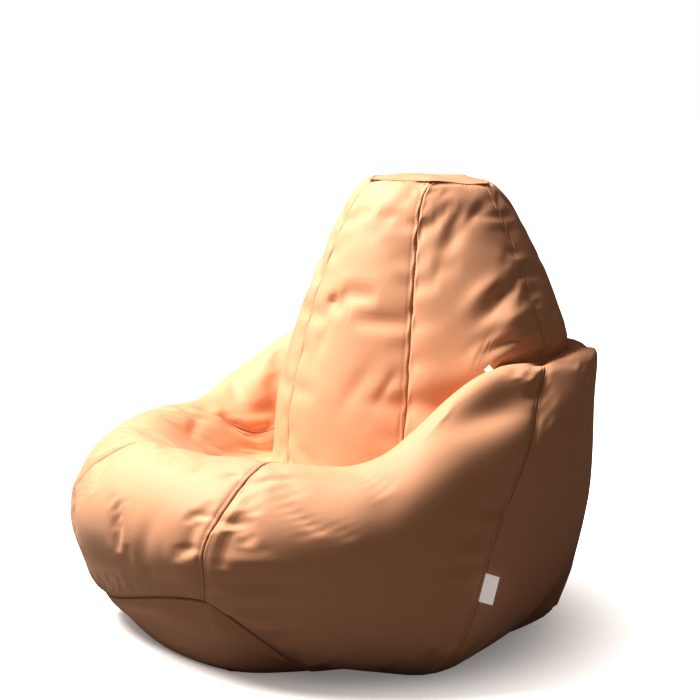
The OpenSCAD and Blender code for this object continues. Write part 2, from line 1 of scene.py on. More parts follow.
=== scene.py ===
import json
import math
import bpy
import numpy as np
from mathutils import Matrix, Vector


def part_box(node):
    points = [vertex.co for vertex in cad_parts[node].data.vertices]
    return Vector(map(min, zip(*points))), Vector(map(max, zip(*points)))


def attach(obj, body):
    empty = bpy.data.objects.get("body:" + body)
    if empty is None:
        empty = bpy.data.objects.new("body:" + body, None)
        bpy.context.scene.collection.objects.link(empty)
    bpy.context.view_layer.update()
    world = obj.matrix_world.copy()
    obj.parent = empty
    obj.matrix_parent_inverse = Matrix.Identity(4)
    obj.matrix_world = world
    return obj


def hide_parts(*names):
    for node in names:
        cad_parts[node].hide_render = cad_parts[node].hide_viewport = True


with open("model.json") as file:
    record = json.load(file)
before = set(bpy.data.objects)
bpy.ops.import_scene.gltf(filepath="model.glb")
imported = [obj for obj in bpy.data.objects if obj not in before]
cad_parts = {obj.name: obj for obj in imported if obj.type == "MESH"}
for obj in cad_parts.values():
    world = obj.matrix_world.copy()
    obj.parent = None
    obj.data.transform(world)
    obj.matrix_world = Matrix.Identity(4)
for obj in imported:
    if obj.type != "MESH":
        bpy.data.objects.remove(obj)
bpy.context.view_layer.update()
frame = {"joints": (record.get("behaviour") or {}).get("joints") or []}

# The bag is drawn through these hoops, from the base seam up to the cap seam, in metres:
# middle y, half width, front reach, back reach, front z, back z, seam turn (deg),
# lag of the front right seam, lag of the left seam, six-sidedness, ear
hoops = np.array([
    [0.000, 0.425, 0.425, 0.430, 0.000, 0.000, 0, -7, 0, 0.8, 0],         # base seam
    [0.000, 0.4397, 0.4397, 0.4447, 0.000, 0.000, 0, -7, 0, 0.8, 0],      # hem
    [-0.005, 0.480, 0.478, 0.470, 0.132, 0.120, 4, -5, 0, 0.5, 0],        # low belly
    [0.000, 0.500, 0.500, 0.495, 0.233, 0.260, 10, 0, -4, 0.25, 0],       # belly
    [0.010, 0.478, 0.475, 0.500, 0.326, 0.416, 20, 8, -8, 0.1, 0],        # shoulder
    [0.040, 0.400, 0.428, 0.470, 0.388, 0.520, 30, 14, -2, 0, 0.044],     # rim
    [0.060, 0.345, 0.385, 0.435, 0.3686, 0.525, 33, 12, 2, 0, 0.044],     # lip
    [0.100, 0.312, 0.350, 0.385, 0.310, 0.522, 35, 8, 14, 0, 0],          # seat front
    [0.130, 0.300, 0.290, 0.350, 0.278, 0.530, 34, 8, 26, 0, 0],          # seat
    [0.170, 0.300, 0.265, 0.300, 0.300, 0.560, 31, 6, 30, 0, 0],          # foot of the backrest
    [0.190, 0.282, 0.268, 0.255, 0.4398, 0.6141, 28, 2, 15, 0, 0],        # low back
    [0.212, 0.226, 0.240, 0.205, 0.6248, 0.6947, 26, 0, 5, 0, 0],         # mid back
    [0.215, 0.160, 0.176, 0.158, 0.7924, 0.7989, 27, 0, 0, 0.2, 0],       # top back
    [0.215, 0.124, 0.136, 0.125, 0.856, 0.848, 33, 0, 0, 0.8, 0],         # cap seam
])
topRow = len(hoops) - 1
cornerLift = np.array([0.145, 0.008, 0.024, 0.024, 0.035, 0.055])  # base seam at its six corners
cover = {
    "thickness": 0.0015, "hem": 0.018, "hemRise": 0.01273, "stitchIn": 0.0072,
    "contactShare": 0.9, "contactRadius": 0.365, "baseBlur": 16,  # how the base rolls down to the floor
    "zipGap": 0.0055, "zipEnd": 28.5,                             # gap along the zip, and half its turn
    "baseBack": 0.003,                                            # shift of the floor patch
    "columns": 56, "rowStep": 0.0065,                             # of the mesh
    "seamEnd": 0.42, "seamCurve": 1.25,                           # of the seam beside its lifted corner
}
front = {
    "out": 0.095, "middle": -4, "spread": 42,
    "lowRise": 0.07, "bellyRise": 0.03, "riseAt": 28, "riseSpread": 34,
}
slump = {  # the right side, rolled under and sagging
    "tuck": 0.18, "drop": 0.04, "out": 0.006, "down": 0.03, "row": 1.45, "rows": 0.38,
    "middle": 72, "spread": 46, "lean": 6, "clear": 0.002,
}
ears = {"angles": (148, 212), "spread": 13}  # the pinched corners of the arms
nearSeam = np.array([0, 1.1, 2.2, 3.4, 4.8, 6.2, 7.2, 8.6, 11, 15, 20]) / 1000  # columns beside a seam
panelNames = ["front_panel", "front_right_panel", "back_right_panel",
              "back_panel", "back_left_panel", "front_left_panel"]


def smooth(low, high, x):
    t = np.clip((x - low) / (high - low), 0, 1)
    return t * t * (3 - 2 * t)


def wrapped(a):
    return (a + 180) % 360 - 180


def bell(a, middle, spread):
    return np.exp(-(wrapped(a - middle) / spread) ** 2)


def hexagon(s):
    return math.cos(math.radians(30)) / np.cos(np.radians((s + 30) % 60 - 30))


def seamLift(s):
    k = ((s - 30) % 360) / 60
    i = np.floor(k).astype(int) % 6
    f = k - np.floor(k)
    fall = 1 - np.clip(1 - f / cover["seamEnd"], 0, 1) ** cover["seamCurve"]
    eased = np.where(i == 0, fall, smooth(0, 1, f))
    return cornerLift[i] + (cornerLift[(i + 1) % 6] - cornerLift[i]) * eased


def offRear(s):
    return smooth(30, 62, np.abs(wrapped(s - 180)))


def slumped(s):
    return bell(s, 90, 40) * offRear(s)


def hoopPoint(s, i):
    h = hoops[i]
    turned = s + h[..., 6] - h[..., 7] * bell(s, 30, 38) - h[..., 8] * bell(s, 270, 38)
    a = np.radians(turned)
    sides = np.where(i < 2, 1 - (1 - h[..., 9]) * offRear(s), h[..., 9])
    pinched = h[..., 10] * sum(bell(turned, at, ears["spread"]) for at in ears["angles"])
    bulge = front["out"] * bell(s, front["middle"], front["spread"])
    q = 1 - sides * (1 - hexagon(s)) + pinched - np.where(i < 2, slump["tuck"] * slumped(s) - bulge, 0)
    reach = np.where(np.cos(a) > 0, h[..., 2], h[..., 3])
    z = h[..., 4] + (h[..., 5] - h[..., 4]) * smooth(0.28, 0.62, (1 - np.cos(a)) / 2)
    z = np.where(i == 0, seamLift(s), np.where(i == 1, seamLift(s) + cover["hemRise"], z))
    rise = bell(s, front["riseAt"], front["riseSpread"])
    z = z + np.where(i == 2, front["lowRise"] * rise - slump["drop"] * slumped(s), 0) \
        + np.where(i == 3, front["bellyRise"] * rise, 0)
    return np.stack([h[..., 1] * np.sin(a) * q, h[..., 0] - reach * np.cos(a) * q, z], -1)


def cubic(a, b, c, d, f):
    # a smooth line from b to c
    return b + (c - a) * f / 2 + (2 * a - 5 * b + 4 * c - d) * f * f / 2 \
        + (3 * b - a - 3 * c + d) * f ** 3 / 2


def skin(s, v):
    # the outside of the panels: straight over the hem, curved from there to the cap seam
    i = np.clip(np.floor(v).astype(int), 0, topRow - 1)
    f = (v - i)[..., None]
    a, b = hoopPoint(s, np.maximum(i - 1, 0)), hoopPoint(s, i)
    c, d = hoopPoint(s, i + 1), hoopPoint(s, np.minimum(i + 2, topRow))
    sag = np.exp(-((v - slump["row"]) / slump["rows"]) ** 2) * bell(s, slump["middle"], slump["spread"]) \
        * offRear(s) * smooth(1.0, 1.25, v)
    way = np.radians(s + slump["lean"])
    sagWay = [slump["out"] * np.sin(way), -slump["out"] * np.cos(way), np.full_like(way, -slump["down"])]
    curved = cubic(a, b, c, d, f) + sag[..., None] * np.stack(sagWay, -1)
    curved[..., 2] = np.maximum(curved[..., 2], slump["clear"])
    return np.where((v < 1)[..., None], b + (c - b) * f, curved)


def unit(v):
    return v / np.maximum(np.linalg.norm(v, axis=-1, keepdims=True), 1e-12)


def normals(points, closed=True):
    # outward directions of a grid of points, rows going up and columns going round
    if closed:
        across = np.roll(points, -1, 1) - np.roll(points, 1, 1)
    else:
        across = np.gradient(points, axis=1)
    return unit(np.cross(across, np.gradient(points, axis=0)))


cloth = {
    "columns": 180, "rowsPerHoop": 8, "frames": 20, "pressure": 4.0, "growth": 0.012, "cap": 0.013,
    "crease": (7.2, 9.3), "creaseHold": 0.25,  # the rows under the backrest, held back in part
}


def relaxedCloth():
    # how far the cloth moves when the bag is blown up between its seams, on an even grid
    rows, cols = cloth["rowsPerHoop"] * topRow + 1, cloth["columns"]
    places = np.arange(rows) / cloth["rowsPerHoop"], np.arange(cols) * 360 / cols
    v, s = np.meshgrid(*places, indexing="ij")
    start = skin(s, v)
    n = rows * cols
    points = np.vstack([start.reshape(-1, 3), [[0, 0, 0.004]], [start[-1].mean(0)]])
    mesh = bpy.data.meshes.new("cloth_start")
    mesh.from_pydata(points.tolist(), [], closedFaces(rows, cols))
    bag = bpy.data.objects.new("cloth_start", mesh)
    bpy.context.collection.objects.link(bag)
    held = bag.vertex_groups.new(name="held")
    atSeam = np.abs(s % 60 - 30) < 0.1
    atEdge = (v <= 1) | (v >= topRow - 0.05)
    pinned = np.append((atSeam | atEdge).ravel(), [True, True])
    held.add(np.nonzero(pinned)[0].tolist(), 1.0, "REPLACE")
    crease = ((v > cloth["crease"][0]) & (v < cloth["crease"][1])).ravel() & ~pinned[:-2]
    held.add(np.nonzero(crease)[0].tolist(), cloth["creaseHold"], "REPLACE")
    modifier = bag.modifiers.new("Cloth", "CLOTH")
    use = modifier.settings
    use.quality = 5
    use.mass = 0.4
    use.tension_stiffness = use.compression_stiffness = 15
    use.shear_stiffness = 5
    use.bending_stiffness = 0.6
    use.use_pressure = True
    use.uniform_pressure_force = cloth["pressure"]
    use.shrink_min = -cloth["growth"]
    use.vertex_group_mass = "held"
    use.effector_weights.gravity = 0
    modifier.point_cache.frame_start = 1
    modifier.point_cache.frame_end = cloth["frames"]
    for step in range(1, cloth["frames"] + 1):
        bpy.context.scene.frame_set(step)
    settled = bag.evaluated_get(bpy.context.evaluated_depsgraph_get())
    moved = np.zeros(len(points) * 3)
    settled.data.vertices.foreach_get("co", moved)
    moved = moved.reshape(-1, 3)[:n].reshape(rows, cols, 3) - start
    bpy.context.scene.frame_set(1)
    bpy.data.objects.remove(bag)
    length = np.linalg.norm(moved, axis=-1, keepdims=True)
    print("cloth moved", np.round(length.mean() * 1000, 1), "mm on average")
    return moved * np.tanh(length / cloth["cap"]) * cloth["cap"] / np.maximum(length, 1e-9)


def sampled(field, s, v):
    # a field on the cloth's grid, read between its points
    rows, cols = field.shape[:2]
    x, y = s * cols / 360, v * cloth["rowsPerHoop"]
    i, j = np.floor(y).astype(int), np.floor(x).astype(int)
    fx, fy = (x - j)[..., None], (y - i)[..., None]
    lines = []
    for k in range(-1, 3):
        row = np.clip(i + k, 0, rows - 1)
        lines.append(cubic(*[field[row, (j + m) % cols] for m in range(-1, 3)], fx))
    return cubic(*lines, fy)


def gridFaces(rows, cols, closed, start=0, flip=False):
    last = cols if closed else cols - 1
    r, c = np.meshgrid(np.arange(rows - 1), np.arange(last), indexing="ij")
    c2 = (c + 1) % cols
    quads = np.stack([r * cols + c, r * cols + c2, (r + 1) * cols + c2, (r + 1) * cols + c], -1)
    quads = quads.reshape(-1, 4)
    return (quads[:, ::-1] if flip else quads) + start


def closedFaces(rows, cols):
    # a closed grid with a fan over each end; the middles of the fans are the last two points
    n = rows * cols
    low = [[n, (c + 1) % cols, c] for c in range(cols)]
    high = [[n + 1, n - cols + c, n - cols + (c + 1) % cols] for c in range(cols)]
    return gridFaces(rows, cols, True).tolist() + low + high


def makePiece(name, points, faces, finish, sharp=None, seamShadeAndWear=None):
    mesh = bpy.data.meshes.new(name)
    mesh.from_pydata(np.asarray(points).tolist(), [], [list(map(int, f)) for f in faces])
    mesh.polygons.foreach_set("use_smooth", [True] * len(mesh.polygons))
    if sharp:
        mesh.set_sharp_from_angle(angle=math.radians(sharp))
    if seamShadeAndWear is not None:
        # the seam line: painted shade in the seam grooves, and rougher rubbed seams
        worn = mesh.attributes.new("seamShadeAndWear", "FLOAT", "POINT")
        worn.data.foreach_set("value", np.asarray(seamShadeAndWear, np.float32))
    mesh.materials.append(finish)
    mesh.validate()
    piece = bpy.data.objects.new(name, mesh)
    bpy.context.collection.objects.link(piece)
    return piece


def sheetPiece(name, outer, inner, finish, closed=False, seamShadeAndWear=None):
    # a thin solid between two grids of points
    rows, cols = outer.shape[:2]
    n = rows * cols
    faces = gridFaces(rows, cols, closed).tolist() + gridFaces(rows, cols, closed, n, True).tolist()
    last = cols if closed else cols - 1
    for c in range(last):
        d = (c + 1) % cols
        faces.append([c, n + c, n + d, d])
        top = (rows - 1) * cols
        faces.append([top + d, n + top + d, n + top + c, top + c])
    if not closed:
        for r in range(rows - 1):
            a, b = r * cols, (r + 1) * cols
            faces.append([a, b, n + b, n + a])
            faces.append([b + cols - 1, a + cols - 1, n + a + cols - 1, n + b + cols - 1])
    points = np.vstack([outer.reshape(-1, 3), inner.reshape(-1, 3)])
    both = None if seamShadeAndWear is None else np.concatenate([seamShadeAndWear.ravel(), seamShadeAndWear.ravel() * 0])
    return makePiece(name, points, faces, finish, seamShadeAndWear=both)


def place(piece, body, slot, *nodes):
    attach(piece, body)
    if nodes:
        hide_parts(*nodes)
    return piece


class Wire:
    # a shader socket that can stand in a sum
    def __init__(self, paint, socket):
        self.paint, self.socket = paint, socket

    def sum(self, operation, other, swap=False):
        pair = [other, self] if swap else [self, other]
        return self.paint.add("ShaderNodeMath", {"operation": operation}, {0: pair[0], 1: pair[1]})

    def __add__(self, other): return self.sum("ADD", other)
    def __radd__(self, other): return self.sum("ADD", other, True)
    def __sub__(self, other): return self.sum("SUBTRACT", other)
    def __rsub__(self, other): return self.sum("SUBTRACT", other, True)
    def __mul__(self, other): return self.sum("MULTIPLY", other)
    def __rmul__(self, other): return self.sum("MULTIPLY", other, True)


class Paint:
    # one material and its nodes
    def __init__(self, name, **constants):
        self.material = bpy.data.materials.new(name)
        self.material.use_nodes = True
        self.tree = self.material.node_tree
        self.shader = self.tree.nodes["Principled BSDF"]
        for socket, value in constants.items():
            self.shader.inputs[socket.replace("_", " ")].default_value = value

    def add(self, kind, settings=None, inputs=None, output=0):
        node = self.tree.nodes.new(kind)
        for key, value in (settings or {}).items():
            setattr(node, key, value)
        for key, value in (inputs or {}).items():
            self.feed(node.inputs[key], value)
        return Wire(self, node.outputs[output])

    def feed(self, socket, value):
        if isinstance(value, Wire):
            self.tree.links.new(value.socket, socket)
        else:
            socket.default_value = value

    def set(self, **links):
        for socket, value in links.items():
            self.feed(self.shader.inputs[socket.replace("_", " ")], value)
        return self.material

    def where(self, scale=(1, 1, 1)):
        at = self.add("ShaderNodeTexCoord", output="Object")
        return self.add("ShaderNodeMapping", inputs={"Vector": at, "Scale": scale})

    def noise(self, at, scale, detail=3.0, rough=0.5):
        inputs = {"Vector": at, "Scale": scale, "Detail": detail, "Roughness": rough}
        return self.add("ShaderNodeTexNoise", inputs=inputs)

    def cells(self, at, scale, feature="F1"):
        return self.add("ShaderNodeTexVoronoi", {"feature": feature}, {"Vector": at, "Scale": scale})

    def waves(self, at, scale, direction, distortion=0.0):
        return self.add("ShaderNodeTexWave", {"bands_direction": direction},
                        {"Vector": at, "Scale": scale, "Distortion": distortion}, "Fac")

    def mix(self, part, low, high):
        return self.add("ShaderNodeMix", {"data_type": "RGBA"}, {0: part, 6: low, 7: high}, 2)

    def bump(self, height, distance, strength=1.0, under=None):
        inputs = {"Height": height, "Distance": distance, "Strength": strength}
        if under:
            inputs["Normal"] = under
        return self.add("ShaderNodeBump", inputs=inputs)


# seam is a painted shade colour, for the dark line in the seam grooves
leather = {
    "light": (0.78, 0.475, 0.315, 1), "dark": (0.7, 0.41, 0.265, 1), "seam": (0.27, 0.13, 0.075, 1),
    "grain": 620, "grainDepth": 0.00006, "roughness": 0.58,
}


def leatherette():
    p = Paint("cover_leatherette", Specular_IOR_Level=0.3, Sheen_Weight=0.1, Sheen_Roughness=0.5)
    at = p.where()
    # The seam line darkens the colour towards the seam colour, a painted shade in the seam grooves, and makes
    # the rubbed seams rougher.
    worn = p.add("ShaderNodeAttribute", {"attribute_name": "seamShadeAndWear"}, output="Fac")
    blotch = p.noise(at, 7.0, 4.0)
    colour = p.mix(blotch, leather["dark"], leather["light"])
    colour = p.mix(p.noise(at, 90.0, 2.0) * 0.22, colour, leather["dark"])
    colour = p.mix(worn, colour, leather["seam"])
    grain = p.cells(at, leather["grain"], "DISTANCE_TO_EDGE") * 1.6 + p.noise(at, 1500.0, 1.0) * 0.25
    folds = p.noise(at, 120.0, 4.0, 0.6)
    relief = p.bump(grain, leather["grainDepth"], 0.5, p.bump(folds, 0.0005, 0.22))
    rough = p.noise(at, 30.0) * 0.12 + (leather["roughness"] - 0.06) + worn * 0.25
    return p.set(Base_Color=colour, Roughness=rough, Normal=relief)


def thread(name, light, dark):
    p = Paint(name, Specular_IOR_Level=0.35, Sheen_Weight=0.2)
    at = p.where()
    twist = p.waves(at, 420.0, "DIAGONAL", 1.5)
    return p.set(Base_Color=p.mix(twist, dark, light), Roughness=p.noise(at, 300.0) * 0.2 + 0.5,
                 Normal=p.bump(twist, 0.0002, 0.6))


def weave(name, light, dark, pitch, depth, stiff=0.75, **constants):
    p = Paint(name, Specular_IOR_Level=0.25, Sheen_Weight=0.25, Sheen_Roughness=0.4, **constants)
    at = p.where()
    warp, weft = p.waves(at, pitch, "X"), p.waves(at, pitch, "Z")
    side = p.waves(at, pitch, "Y")
    cross = warp * weft + (1 - warp) * side
    fleck = p.noise(at, 60.0) * 0.35 + cross * 0.65
    return p.set(Base_Color=p.mix(fleck, dark, light), Roughness=p.noise(at, 90.0) * 0.15 + stiff,
                 Normal=p.bump(cross, depth, 0.7))


def moulded(name, light, dark):
    p = Paint(name, Specular_IOR_Level=0.5)
    at = p.where()
    mottled = p.noise(at, 160.0)
    return p.set(Base_Color=p.mix(mottled, dark, light), Roughness=mottled * 0.15 + 0.36,
                 Normal=p.bump(p.noise(at, 700.0), 0.00005, 0.5))


def zinc():
    p = Paint("zip_metal", Anisotropic=0.3)
    at = p.where((1, 8, 8))
    brushed = p.noise(at, 260.0, 2.0)
    worn = p.noise(p.where(), 140.0, 4.0)
    return p.set(Base_Color=p.mix(worn, (0.42, 0.4, 0.37, 1), (0.72, 0.7, 0.66, 1)), Metallic=0.95,
                 Roughness=brushed * 0.2 + worn * 0.12 + 0.2, Normal=p.bump(brushed, 0.00004, 0.5))


def foamBeads():
    p = Paint("beads", Subsurface_Weight=0.1)
    at = p.where()
    ball = p.cells(at, 260.0)
    ballColour = p.add("ShaderNodeTexVoronoi", inputs={"Vector": at, "Scale": 260.0}, output="Color")
    tone = p.add("ShaderNodeSeparateColor", inputs={0: ballColour}) * 0.5 + 0.3
    return p.set(Base_Color=p.mix(tone, (0.78, 0.77, 0.75, 1), (0.95, 0.95, 0.94, 1)),
                 Roughness=ball * 0.2 + 0.6, Normal=p.bump(1 - ball, 0.002, 1.0))


finishes = {
    "cover": leatherette(),
    "thread": thread("stitching", (0.62, 0.33, 0.2, 1), (0.4, 0.19, 0.105, 1)),
    "tape": weave("zip_tape", (0.25, 0.125, 0.07, 1), (0.12, 0.055, 0.03, 1), 700.0, 0.0002),
    "teeth": moulded("zip_teeth", (0.26, 0.13, 0.075, 1), (0.17, 0.08, 0.045, 1)),
    "zinc": zinc(),
    # The label glows a little: painted light that keeps it white where it lies in the bag's shade.
    "label": weave("label_cloth", (0.97, 0.96, 0.95, 1), (0.86, 0.85, 0.86, 1), 520.0, 0.00015, 0.5,
                   Emission_Color=(1, 1, 1, 1), Emission_Strength=0.35),
    "liner": weave("liner_cloth", (0.82, 0.8, 0.76, 1), (0.66, 0.64, 0.6, 1), 330.0, 0.0003),
    "linerTeeth": moulded("liner_zip_teeth", (0.8, 0.78, 0.74, 1), (0.62, 0.6, 0.57, 1)),
    "beads": foamBeads(),
}
print("finishes made")

rng = np.random.default_rng(11)
moved = relaxedCloth()


def rowPlaces():
    # heights of the rows: close beside the hem and the cap seam, even in between
    rows = list(nearSeam[:-2] / cover["hem"])
    rows += [0.8]
    s = np.arange(0, 360, 15.0)
    for i in range(1, topRow):
        span = np.linalg.norm(skin(s, s * 0 + i + 0.999) - skin(s, s * 0 + i), axis=-1).mean()
        steps = int(math.ceil(span / cover["rowStep"]))
        rows += [i + k / steps for k in range(steps)]
    clear = nearSeam[-1] + 0.002
    rows = [v for v in rows if v < topRow - clear / span] + [topRow - d / span for d in nearSeam[::-1]]
    return np.array(rows)


def columnAngles(v):
    # material angles of one row's columns: at fixed distances beside each seam, even in between
    s = np.linspace(-30, 330, 1441)
    p = skin(s, np.full_like(s, v))
    run = np.append(0, np.cumsum(np.linalg.norm(np.diff(p, axis=0), axis=1)))
    out, dist = [], []
    for k in range(6):
        a, b = run[k * 240], run[(k + 1) * 240]
        near = nearSeam * min(1, (b - a) / 0.11)
        between = np.linspace(near[-1], b - a - near[-1], cover["columns"] + 2)[1:-1]
        at = np.concatenate([near, between, (b - a - near[::-1])[:-1]])
        out.append(np.interp(a + at, run, s))
        dist.append(np.concatenate([at, [b - a]])[:len(at)])
    return np.concatenate(out), np.concatenate(dist), np.repeat(np.diff(run[::240]), len(at))


rowV = rowPlaces()
perPanel = 2 * len(nearSeam) + cover["columns"] - 1
angles, fromLeft, width = (np.array(x) for x in zip(*[columnAngles(v) for v in rowV]))
heights = np.repeat(rowV[:, None], angles.shape[1], 1)
nearZip = np.abs(wrapped(angles - 180)) < cover["zipEnd"] + 0.2
zipShift = np.where(nearZip & (heights < 1), (1 - heights) * cover["zipGap"] / cover["hem"], 0)
base = skin(angles, heights + zipShift) + sampled(moved, angles, np.clip(heights, 0, topRow))
out = normals(base)

fromRight = width - fromLeft
upward = np.cumsum(np.linalg.norm(np.diff(base, axis=0), axis=-1), 0)
upward = np.append(np.zeros((1, base.shape[1])), upward, 0)
hemDistance = np.where(heights <= 1, heights * cover["hem"], upward)
capDistance = upward[-1] - upward

fromSeam = np.minimum(fromLeft, fromRight)

# The last two entries set the width and strength of the painted shade line along the seams.
seams = {
    "sink": 0.0032, "reach": 0.02, "groove": 0.0012, "lip": 0.0008, "lipFrom": 0.0008, "lipTo": 0.0058,
    "seamShadeWidth": 0.0008, "worn": 0.75,
}


def lipSide(d):
    # the turned and top-stitched side of a seam
    lip = seams["lip"] * smooth(seams["lipFrom"], 0.0024, d) * (1 - smooth(seams["lipTo"], 0.009, d))
    return lip - seams["groove"] * np.exp(-(d / 0.0012) ** 2) - 0.0008 * np.exp(-((d - 0.0076) / 0.0016) ** 2)


def plainSide(d):
    return 0.0006 * np.exp(-((d - 0.004) / 0.0025) ** 2) - seams["groove"] * np.exp(-(d / 0.0015) ** 2)


def sunk(d):
    return -seams["sink"] * np.exp(-d / seams["reach"])


# Puckers gather along each side seam: how many, how high, and how far they run to each side
puckers = [  # front right, right, back right, back left, left, front left
    {"count": 24, "height": 0.0019, "left": 0.018, "right": 0.034},
    {"count": 30, "height": 0.0022, "left": 0.045, "right": 0.02},
    {"count": 22, "height": 0.0018, "left": 0.03, "right": 0.03},
    {"count": 22, "height": 0.0018, "left": 0.03, "right": 0.03},
    {"count": 22, "height": 0.0018, "left": 0.03, "right": 0.026},
    {"count": 22, "height": 0.0016, "left": 0.03, "right": 0.026},
]


def puckerHeight():
    total = np.zeros_like(fromLeft)
    for k, p in enumerate(puckers):
        seamColumn = ((k + 1) % 6) * perPanel
        run = upward[:, seamColumn][:, None]
        for j in range(p["count"]):
            at = rng.uniform(0.02, run.max() - 0.02)
            high = p["height"] * rng.uniform(0.35, 1) * rng.choice([-1, 1, -1])
            wide = rng.uniform(0.006, 0.013)
            lean = rng.uniform(-0.35, 0.35, 2)
            reach = np.array([p["left"], p["right"]]) * rng.uniform(0.5, 1.5, 2)
            fade = smooth(0, 0.05, run)
            for side, distance, panel in ((0, fromRight, k), (1, fromLeft, (k + 1) % 6)):
                cols = slice(panel * perPanel, (panel + 1) * perPanel)
                d = distance[:, cols]
                across = (run - at - lean[side] * d) / (wide * (1 + d / 0.05))
                total[:, cols] += fade * high * np.exp(-across ** 2) * np.exp(-d / reach[side])
    return total


# Folds and dents, listed: place (material angle, hoop), direction as (around, up),
# length, width and height in metres; a negative height is a dent
folds = [
    (51, 11.73, 0.6, 1, 0.045, 0.016, -0.009),    # right of the backrest
    (59, 11.9, 0.8, 0.8, 0.045, 0.01, 0.005),
    (67, 12.03, 1, 0.6, 0.035, 0.014, -0.008),
    (118, 12.0, -0.5, 0.8, 0.03, 0.012, -0.006),
    (62, 10.9, 1, 0.9, 0.05, 0.014, 0.005),
    (67.5, 10.58, 1, 0.9, 0.05, 0.015, -0.009),
    (63, 10.2, 1, 0.7, 0.045, 0.014, -0.006),
    (72, 10.0, 1, 0.5, 0.04, 0.013, 0.005),
    (98, 9.2, 1, 0.7, 0.035, 0.01, -0.008),
    (103, 9.6, 1, 0.7, 0.03, 0.012, 0.006),
    (-13, 11.05, 1, 0.4, 0.022, 0.008, -0.006),   # front of the backrest
    (-13.5, 10.65, 0.2, 1, 0.05, 0.02, -0.005),
    (9.5, 10.23, 0.6, 1, 0.05, 0.02, -0.005),
    (22, 10.3, 0.6, 1, 0.03, 0.009, -0.004),
    (58, 9.4, 1, 0.2, 0.13, 0.028, -0.02),        # under the backrest
    (26, 4.6, 1, 0.1, 0.018, 0.006, -0.006),      # beside the front right seam
    (34, 4.55, 1, 0.25, 0.03, 0.006, -0.006),
    (36, 4.75, 1, 0.1, 0.03, 0.008, 0.004),
    (33, 3.68, 1, -0.1, 0.02, 0.008, -0.005),
    (27, 3.8, 1, 0.2, 0.018, 0.007, -0.005),
    (27, 2.9, 1, 0.1, 0.02, 0.008, -0.004),
    (40, 2.83, 1, 0, 0.05, 0.012, 0.004),         # low at the front
    (44, 2.3, 1, 0, 0.055, 0.009, -0.005),
    (41.5, 1.98, 1, 0, 0.055, 0.01, 0.006),
    (41, 1.75, 1, 0.05, 0.06, 0.007, -0.009),
    (44.5, 1.6, 1, 0.05, 0.05, 0.008, 0.006),
    (14, 2.9, 0.4, 1, 0.05, 0.02, -0.004),
    (87, 3.35, 1, -0.1, 0.035, 0.014, -0.01),     # left of the right seam
    (84.5, 3.21, 1, -0.1, 0.035, 0.01, 0.006),
    (85, 3.08, 1, -0.05, 0.035, 0.013, -0.01),
    (84, 2.95, 1, 0, 0.035, 0.01, 0.006),
    (83.5, 2.83, 1, 0, 0.035, 0.012, -0.009),
    (83, 2.7, 1, 0, 0.03, 0.01, 0.005),
    (82.5, 2.58, 1, 0, 0.03, 0.011, -0.007),
    (288, 6.4, 1, 0.3, 0.06, 0.012, -0.006),      # inside the left arm
    (60, 4.1, 0.3, 1, 0.09, 0.035, -0.004),
]


def foldHeight(points, out):
    total = np.zeros(points.shape[:-1])
    for s, v, around, up, length, wide, high in folds:
        nearest = np.argmin((np.abs(wrapped(angles - s)) / 60) ** 2 + (heights - v) ** 2)
        i = np.unravel_index(nearest, angles.shape)
        middle, normal = points[i], out[i]
        east = unit(np.cross([0, 0, 1.0], normal))
        north = np.cross(normal, east)
        along = unit(east * around + north * up)
        side = np.cross(normal, along)
        x, y = (points - middle) @ along / length, (points - middle) @ side / wide
        facing = np.clip(out @ normal, 0, 1)
        total += high * np.exp(-x ** 2 - y ** 2) * facing
    return total


def ripple(points, seed, size, count=10):
    # slow unevenness of a filled bag
    r = np.random.default_rng(seed)
    total = 0
    for _ in range(count):
        way = unit(r.normal(size=3))
        length = size * r.uniform(0.7, 1.4)
        total = total + np.sin(points @ way * 2 * math.pi / length + r.uniform(0, 6.28))
    return total / math.sqrt(count)


def lowestNear(field, steps):
    # the lowest value within a few rows and columns
    for _ in range(steps):
        field = np.minimum(field, np.minimum(np.roll(field, 1, 1), np.roll(field, -1, 1)))
        above, below = np.vstack([field[1:], field[-1:]]), np.vstack([field[:1], field[:-1]])
        field = np.minimum(field, np.minimum(above, below))
    return field


lift = puckerHeight() + foldHeight(base, out)
awayFromEdges = smooth(0, 0.06, hemDistance) * smooth(0, 0.06, capDistance)
lift += 0.0016 * ripple(base, 3, 0.21) * awayFromEdges
lift *= smooth(0, 0.012, hemDistance) * smooth(0, 0.01, capDistance)
broad = lift + sunk(fromSeam) + sunk(capDistance) * 0.6 + 0.5 * sunk(hemDistance)
fine = np.where(fromRight < fromLeft, lipSide(fromRight), plainSide(fromLeft))
fine = np.minimum(fine + plainSide(capDistance), fine + lipSide(hemDistance))
fine = np.clip(fine, -seams["groove"], seams["lip"])
outside = base + out * (broad + fine)[..., None]
outside[..., 2] = np.maximum(outside[..., 2], 0.0004)
fromEdge = np.minimum(fromSeam, np.minimum(hemDistance, capDistance))
# The line beside every seam, the hem and the cap seam: painted shade in the seam grooves, and rougher where
# the seams rub.
seamShadeAndWearLine = np.exp(-(fromEdge / seams["seamShadeWidth"]) ** 2) * seams["worn"]
print("skin drawn:", outside.shape)

inside = outside - normals(outside) * cover["thickness"]
for k, name in enumerate(panelNames):
    cols = np.arange(k * perPanel, (k + 1) * perPanel + 1) % outside.shape[1]
    panel = sheetPiece(name + "_cloth", outside[:, cols], inside[:, cols], finishes["cover"],
                       seamShadeAndWear=seamShadeAndWearLine[:, cols])
    place(panel, "bag", "cover_leatherette", name)
print("six side panels sewn")


